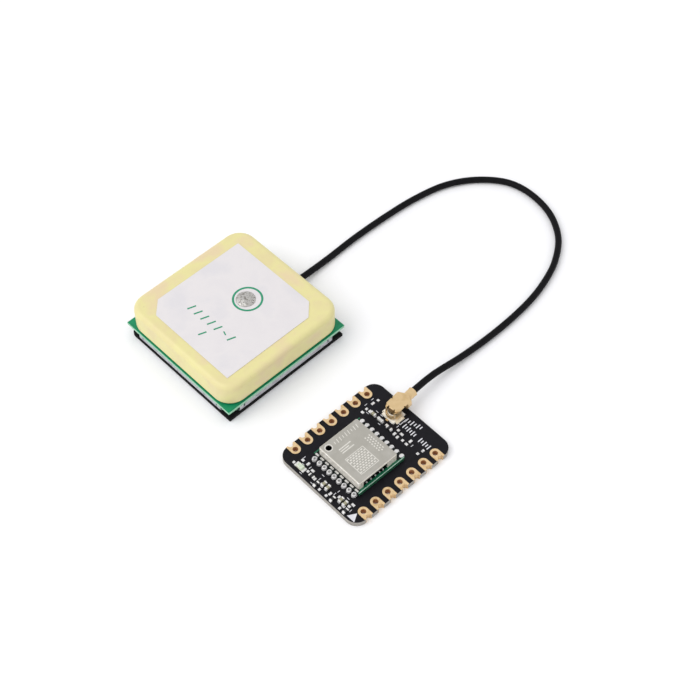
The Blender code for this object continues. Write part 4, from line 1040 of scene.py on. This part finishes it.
ceramic_low, ceramic_top = 3.09, 7.39
ceramic = plate("ceramic", 12.35, ceramic_low, ceramic_top)
pick(ceramic, "edges", upright)
bevel_picked(3.2, 16)
pick(ceramic, "edges", at(2, ceramic_top))
bevel_picked(0.9, 10)
pick(ceramic, "edges", at(2, ceramic_low))
bevel_picked(0.3, 4)
drill(ceramic)
shade(ceramic)
coat(ceramic, finish(
    "patch_ceramic", [tone(215, 201, 150), tone(219, 211, 148), tone(218, 199, 158)], 5.0, (0.42, 0.56),
    relief=0.008, grain=0.25, fleck=(tone(210, 198, 146), 0.5, 0.03), Coat_Weight=0.1, Coat_Roughness=0.35,
))
ceramic.data.transform(stand)
fit(ceramic, "patch_ceramic", "ceramic_block")


# Printed electrode and its marks.
# A matt silver print with two cut corners, fired on the ceramic.
# A plain green ring is printed round the feed pin, with a row of green bars and one more beside it.

electrode_top = ceramic_top + gap + 0.05
electrode = block("electrode", (-10.23, -10.0, ceramic_top + gap), (9.27, 9.5, electrode_top))
pick(electrode, "edges", lambda e: upright(e) and e.verts[0].co.x * e.verts[0].co.y < 0.0)
bevel_picked(2.3, 1)
drill(electrode)
soften(electrode, 0.012, 1)
coat(electrode, finish(
    "silver_print", [tone(215, 211, 212), tone(218, 214, 214), tone(212, 209, 211)], 4.5, (0.5, 0.62),
    metallic=0.05, relief=0.003, grain=0.07,
))
electrode.data.transform(stand)
fit(electrode, "silver_print", "patch_electrode")

ink_level = electrode_top + 0.005
ink_height = 0.012
green_ink = finish("green_ink", [tone(18, 132, 94), tone(34, 146, 108)], 0.4, (0.45, 0.6), relief=0.004)
ring = hoop("printed_ring", 96, 2.53, (3.34, 31.06, ink_level), fill="NGON")
pick(ring, "faces", lambda f: True)
bpy.ops.mesh.inset(thickness=0.34 * MM, depth=0.0)
bpy.ops.mesh.delete(type="FACE")
bpy.ops.mesh.select_all(action="SELECT")
pull(0.0, 0.0, ink_height)
close_outward()
coat(ring, green_ink)
fit(ring)
row_x, row_y = -4.32, 35.88
bars = [(row_x + 0.093 * number, row_y - 1.52 * number, 1.5, 0.26) for number in range(7)]
bars[5] = (*bars[5][:2], 0.2, 0.8)
bars.append((-6.44, 30.68, 1.4, 0.26))
dashes = joined([
    stroke("printed_dashes", length, width, x, y, -18.0, ink_height, ink_level)
    for x, y, length, width in bars
])
coat(dashes, green_ink)
fit(dashes)


# Feed pin.
# The pin's end stands up through the print in a flat, rough drop of solder.
# Its shank goes down through the ceramic and the antenna's board into the can.

feed_level = 7.49
bpy.ops.object.select_all(action="DESELECT")
bpy.ops.mesh.primitive_uv_sphere_add(
    segments=64, ring_count=32, radius=1.62 * MM, location=metres(2.25, feed_y, feed_level)
)
pin = added("feed_drop")
pick(pin, "verts", lambda v: v.co.z < feed_level * MM - hair)
bpy.ops.mesh.delete(type="VERT")
close()
pick(pin, "faces", lambda f: True)
swell(1.0, 1.0, (0.0, 0.0, feed_level), 0.235)
pick(pin, "edges", lambda e: e.is_boundary)
bpy.ops.mesh.edge_face_add()
close()
crumple = bpy.data.textures.new("solder_lumps", "CLOUDS")
crumple.noise_scale = 0.5 * MM
lumps = pin.modifiers.new("lumps", "DISPLACE")
lumps.texture = crumple
lumps.texture_coords = "LOCAL"
lumps.strength = 0.16 * MM
lumps.mid_level = 0.62
apply(pin, lumps)
bpy.ops.object.shade_smooth_by_angle(angle=math.radians(60.0))
shank = drum("shank", 0.45, 1.76, 7.52, feed_x, feed_y, 32)
soften(shank, 0.05, 2)
pin = joined([pin, shank])
coat(pin, finish(
    "feed_solder", [tone(168, 166, 160), tone(196, 194, 190), tone(136, 133, 126)], 0.45, (0.28, 0.5),
    metallic=0.8, relief=0.08, grain=0.25, fleck=(tone(92, 86, 76), 0.3, 0.2),
))
pin.data.transform(stand)
fit(pin, "solder", "feed_pin")


# Parts inside the antenna's can.
# The amplifier chip, its filter and three chip parts hang from the antenna's board.
# The cable's stripped core and the solder on its braid lie beside them.

for name, like in (
    ("amplifier_chip", "receiver_chip_case"),
    ("antenna_filter", "module_filter_case"),
    ("amplifier_capacitor_1", "capacitor_body"),
    ("amplifier_capacitor_2", "capacitor_body"),
    ("amplifier_inductor", "choke_body"),
    ("braid_joint", "solder_joints"),
):
    coat(solid[name], bpy.data.materials[like])
coat(solid["cable_core"], finish(
    "white_core", [tone(236, 235, 230), tone(222, 221, 215)], 0.4, (0.3, 0.45), relief=0.003
))


# Coaxial cable.
# A thin cable in a black jacket, soldered inside the antenna's can and crimped in the plug's barrel.
# From the can's notch it runs smoothly through the points of its route on the table and rises to the plug.

route = (
    (0.0168, 0.0325, 0.00045), (0.0225, 0.03285, 0.0), (0.0294, 0.03315, 0.0), (0.0367, 0.03305, 0.0),
    (0.0428, 0.0326, 0.0), (0.0487, 0.0314, 0.0), (0.0534, 0.02895, 0.0), (0.0570, 0.02535, 0.0),
    (0.0585, 0.0218, 0.0), (0.05855, 0.0174, 0.0), (0.0573, 0.0131, 0.0), (0.0545, 0.0091, 0.0),
    (0.0506, 0.00625, 0.0), (0.0468, 0.0046, 0.0), (0.0421, 0.00335, 0.0), (0.0368, 0.0027, 0.0),
    (0.0306, 0.0025, 0.0), (0.0242, 0.00265, 0.00025), (0.0178, 0.0028, 0.0012),
)
cable_radius = 0.565 * MM
lying = cable_radius + gap * MM
points = [stand @ Vector(metres(x, cable_y, cable_level)) for x in (10.0, 12.765)]
points += [Vector((x, y, lying + lift)) for x, y, lift in route]
points += [plug_spot @ Vector(metres(x, 0.0, barrel_level)) for x in (5.315, 3.68)]


def between(number, t):
    """A point of the smooth line, at a share t of the way from one point to the next."""
    start, end = points[number], points[number + 1]
    leaving = (end - points[max(number - 1, 0)]) / 2
    arriving = (points[min(number + 2, len(points) - 1)] - start) / 2
    ends = start * (2 * t**3 - 3 * t**2 + 1) + end * (3 * t**2 - 2 * t**3)
    return ends + leaving * (t**3 - 2 * t**2 + t) + arriving * (t**3 - t**2)


line = [between(number, tenth / 10) for number in range(len(points) - 1) for tenth in range(10)]
line.append(points[-1])
bend = bpy.data.curves.new("cable", "CURVE")
bend.dimensions = "3D"
bend.bevel_depth = cable_radius
bend.bevel_resolution = 6
bend.use_fill_caps = True
spline = bend.splines.new("POLY")
spline.points.add(len(line) - 1)
for control, point in zip(spline.points, line):
    control.co = (*point, 1.0)
spline.use_smooth = True
cable = bpy.data.objects.new("cable", bend)
bpy.context.scene.collection.objects.link(cable)
bend.materials.append(finish(
    "black_jacket", [tone(1, 1, 3), tone(10, 9, 13), tone(4, 4, 6)], 0.8, (0.46, 0.6),
    relief=0.004, grain=0.15, Specular_IOR_Level=0.12,
))
fit(cable, "black_jacket", "coax_cable")
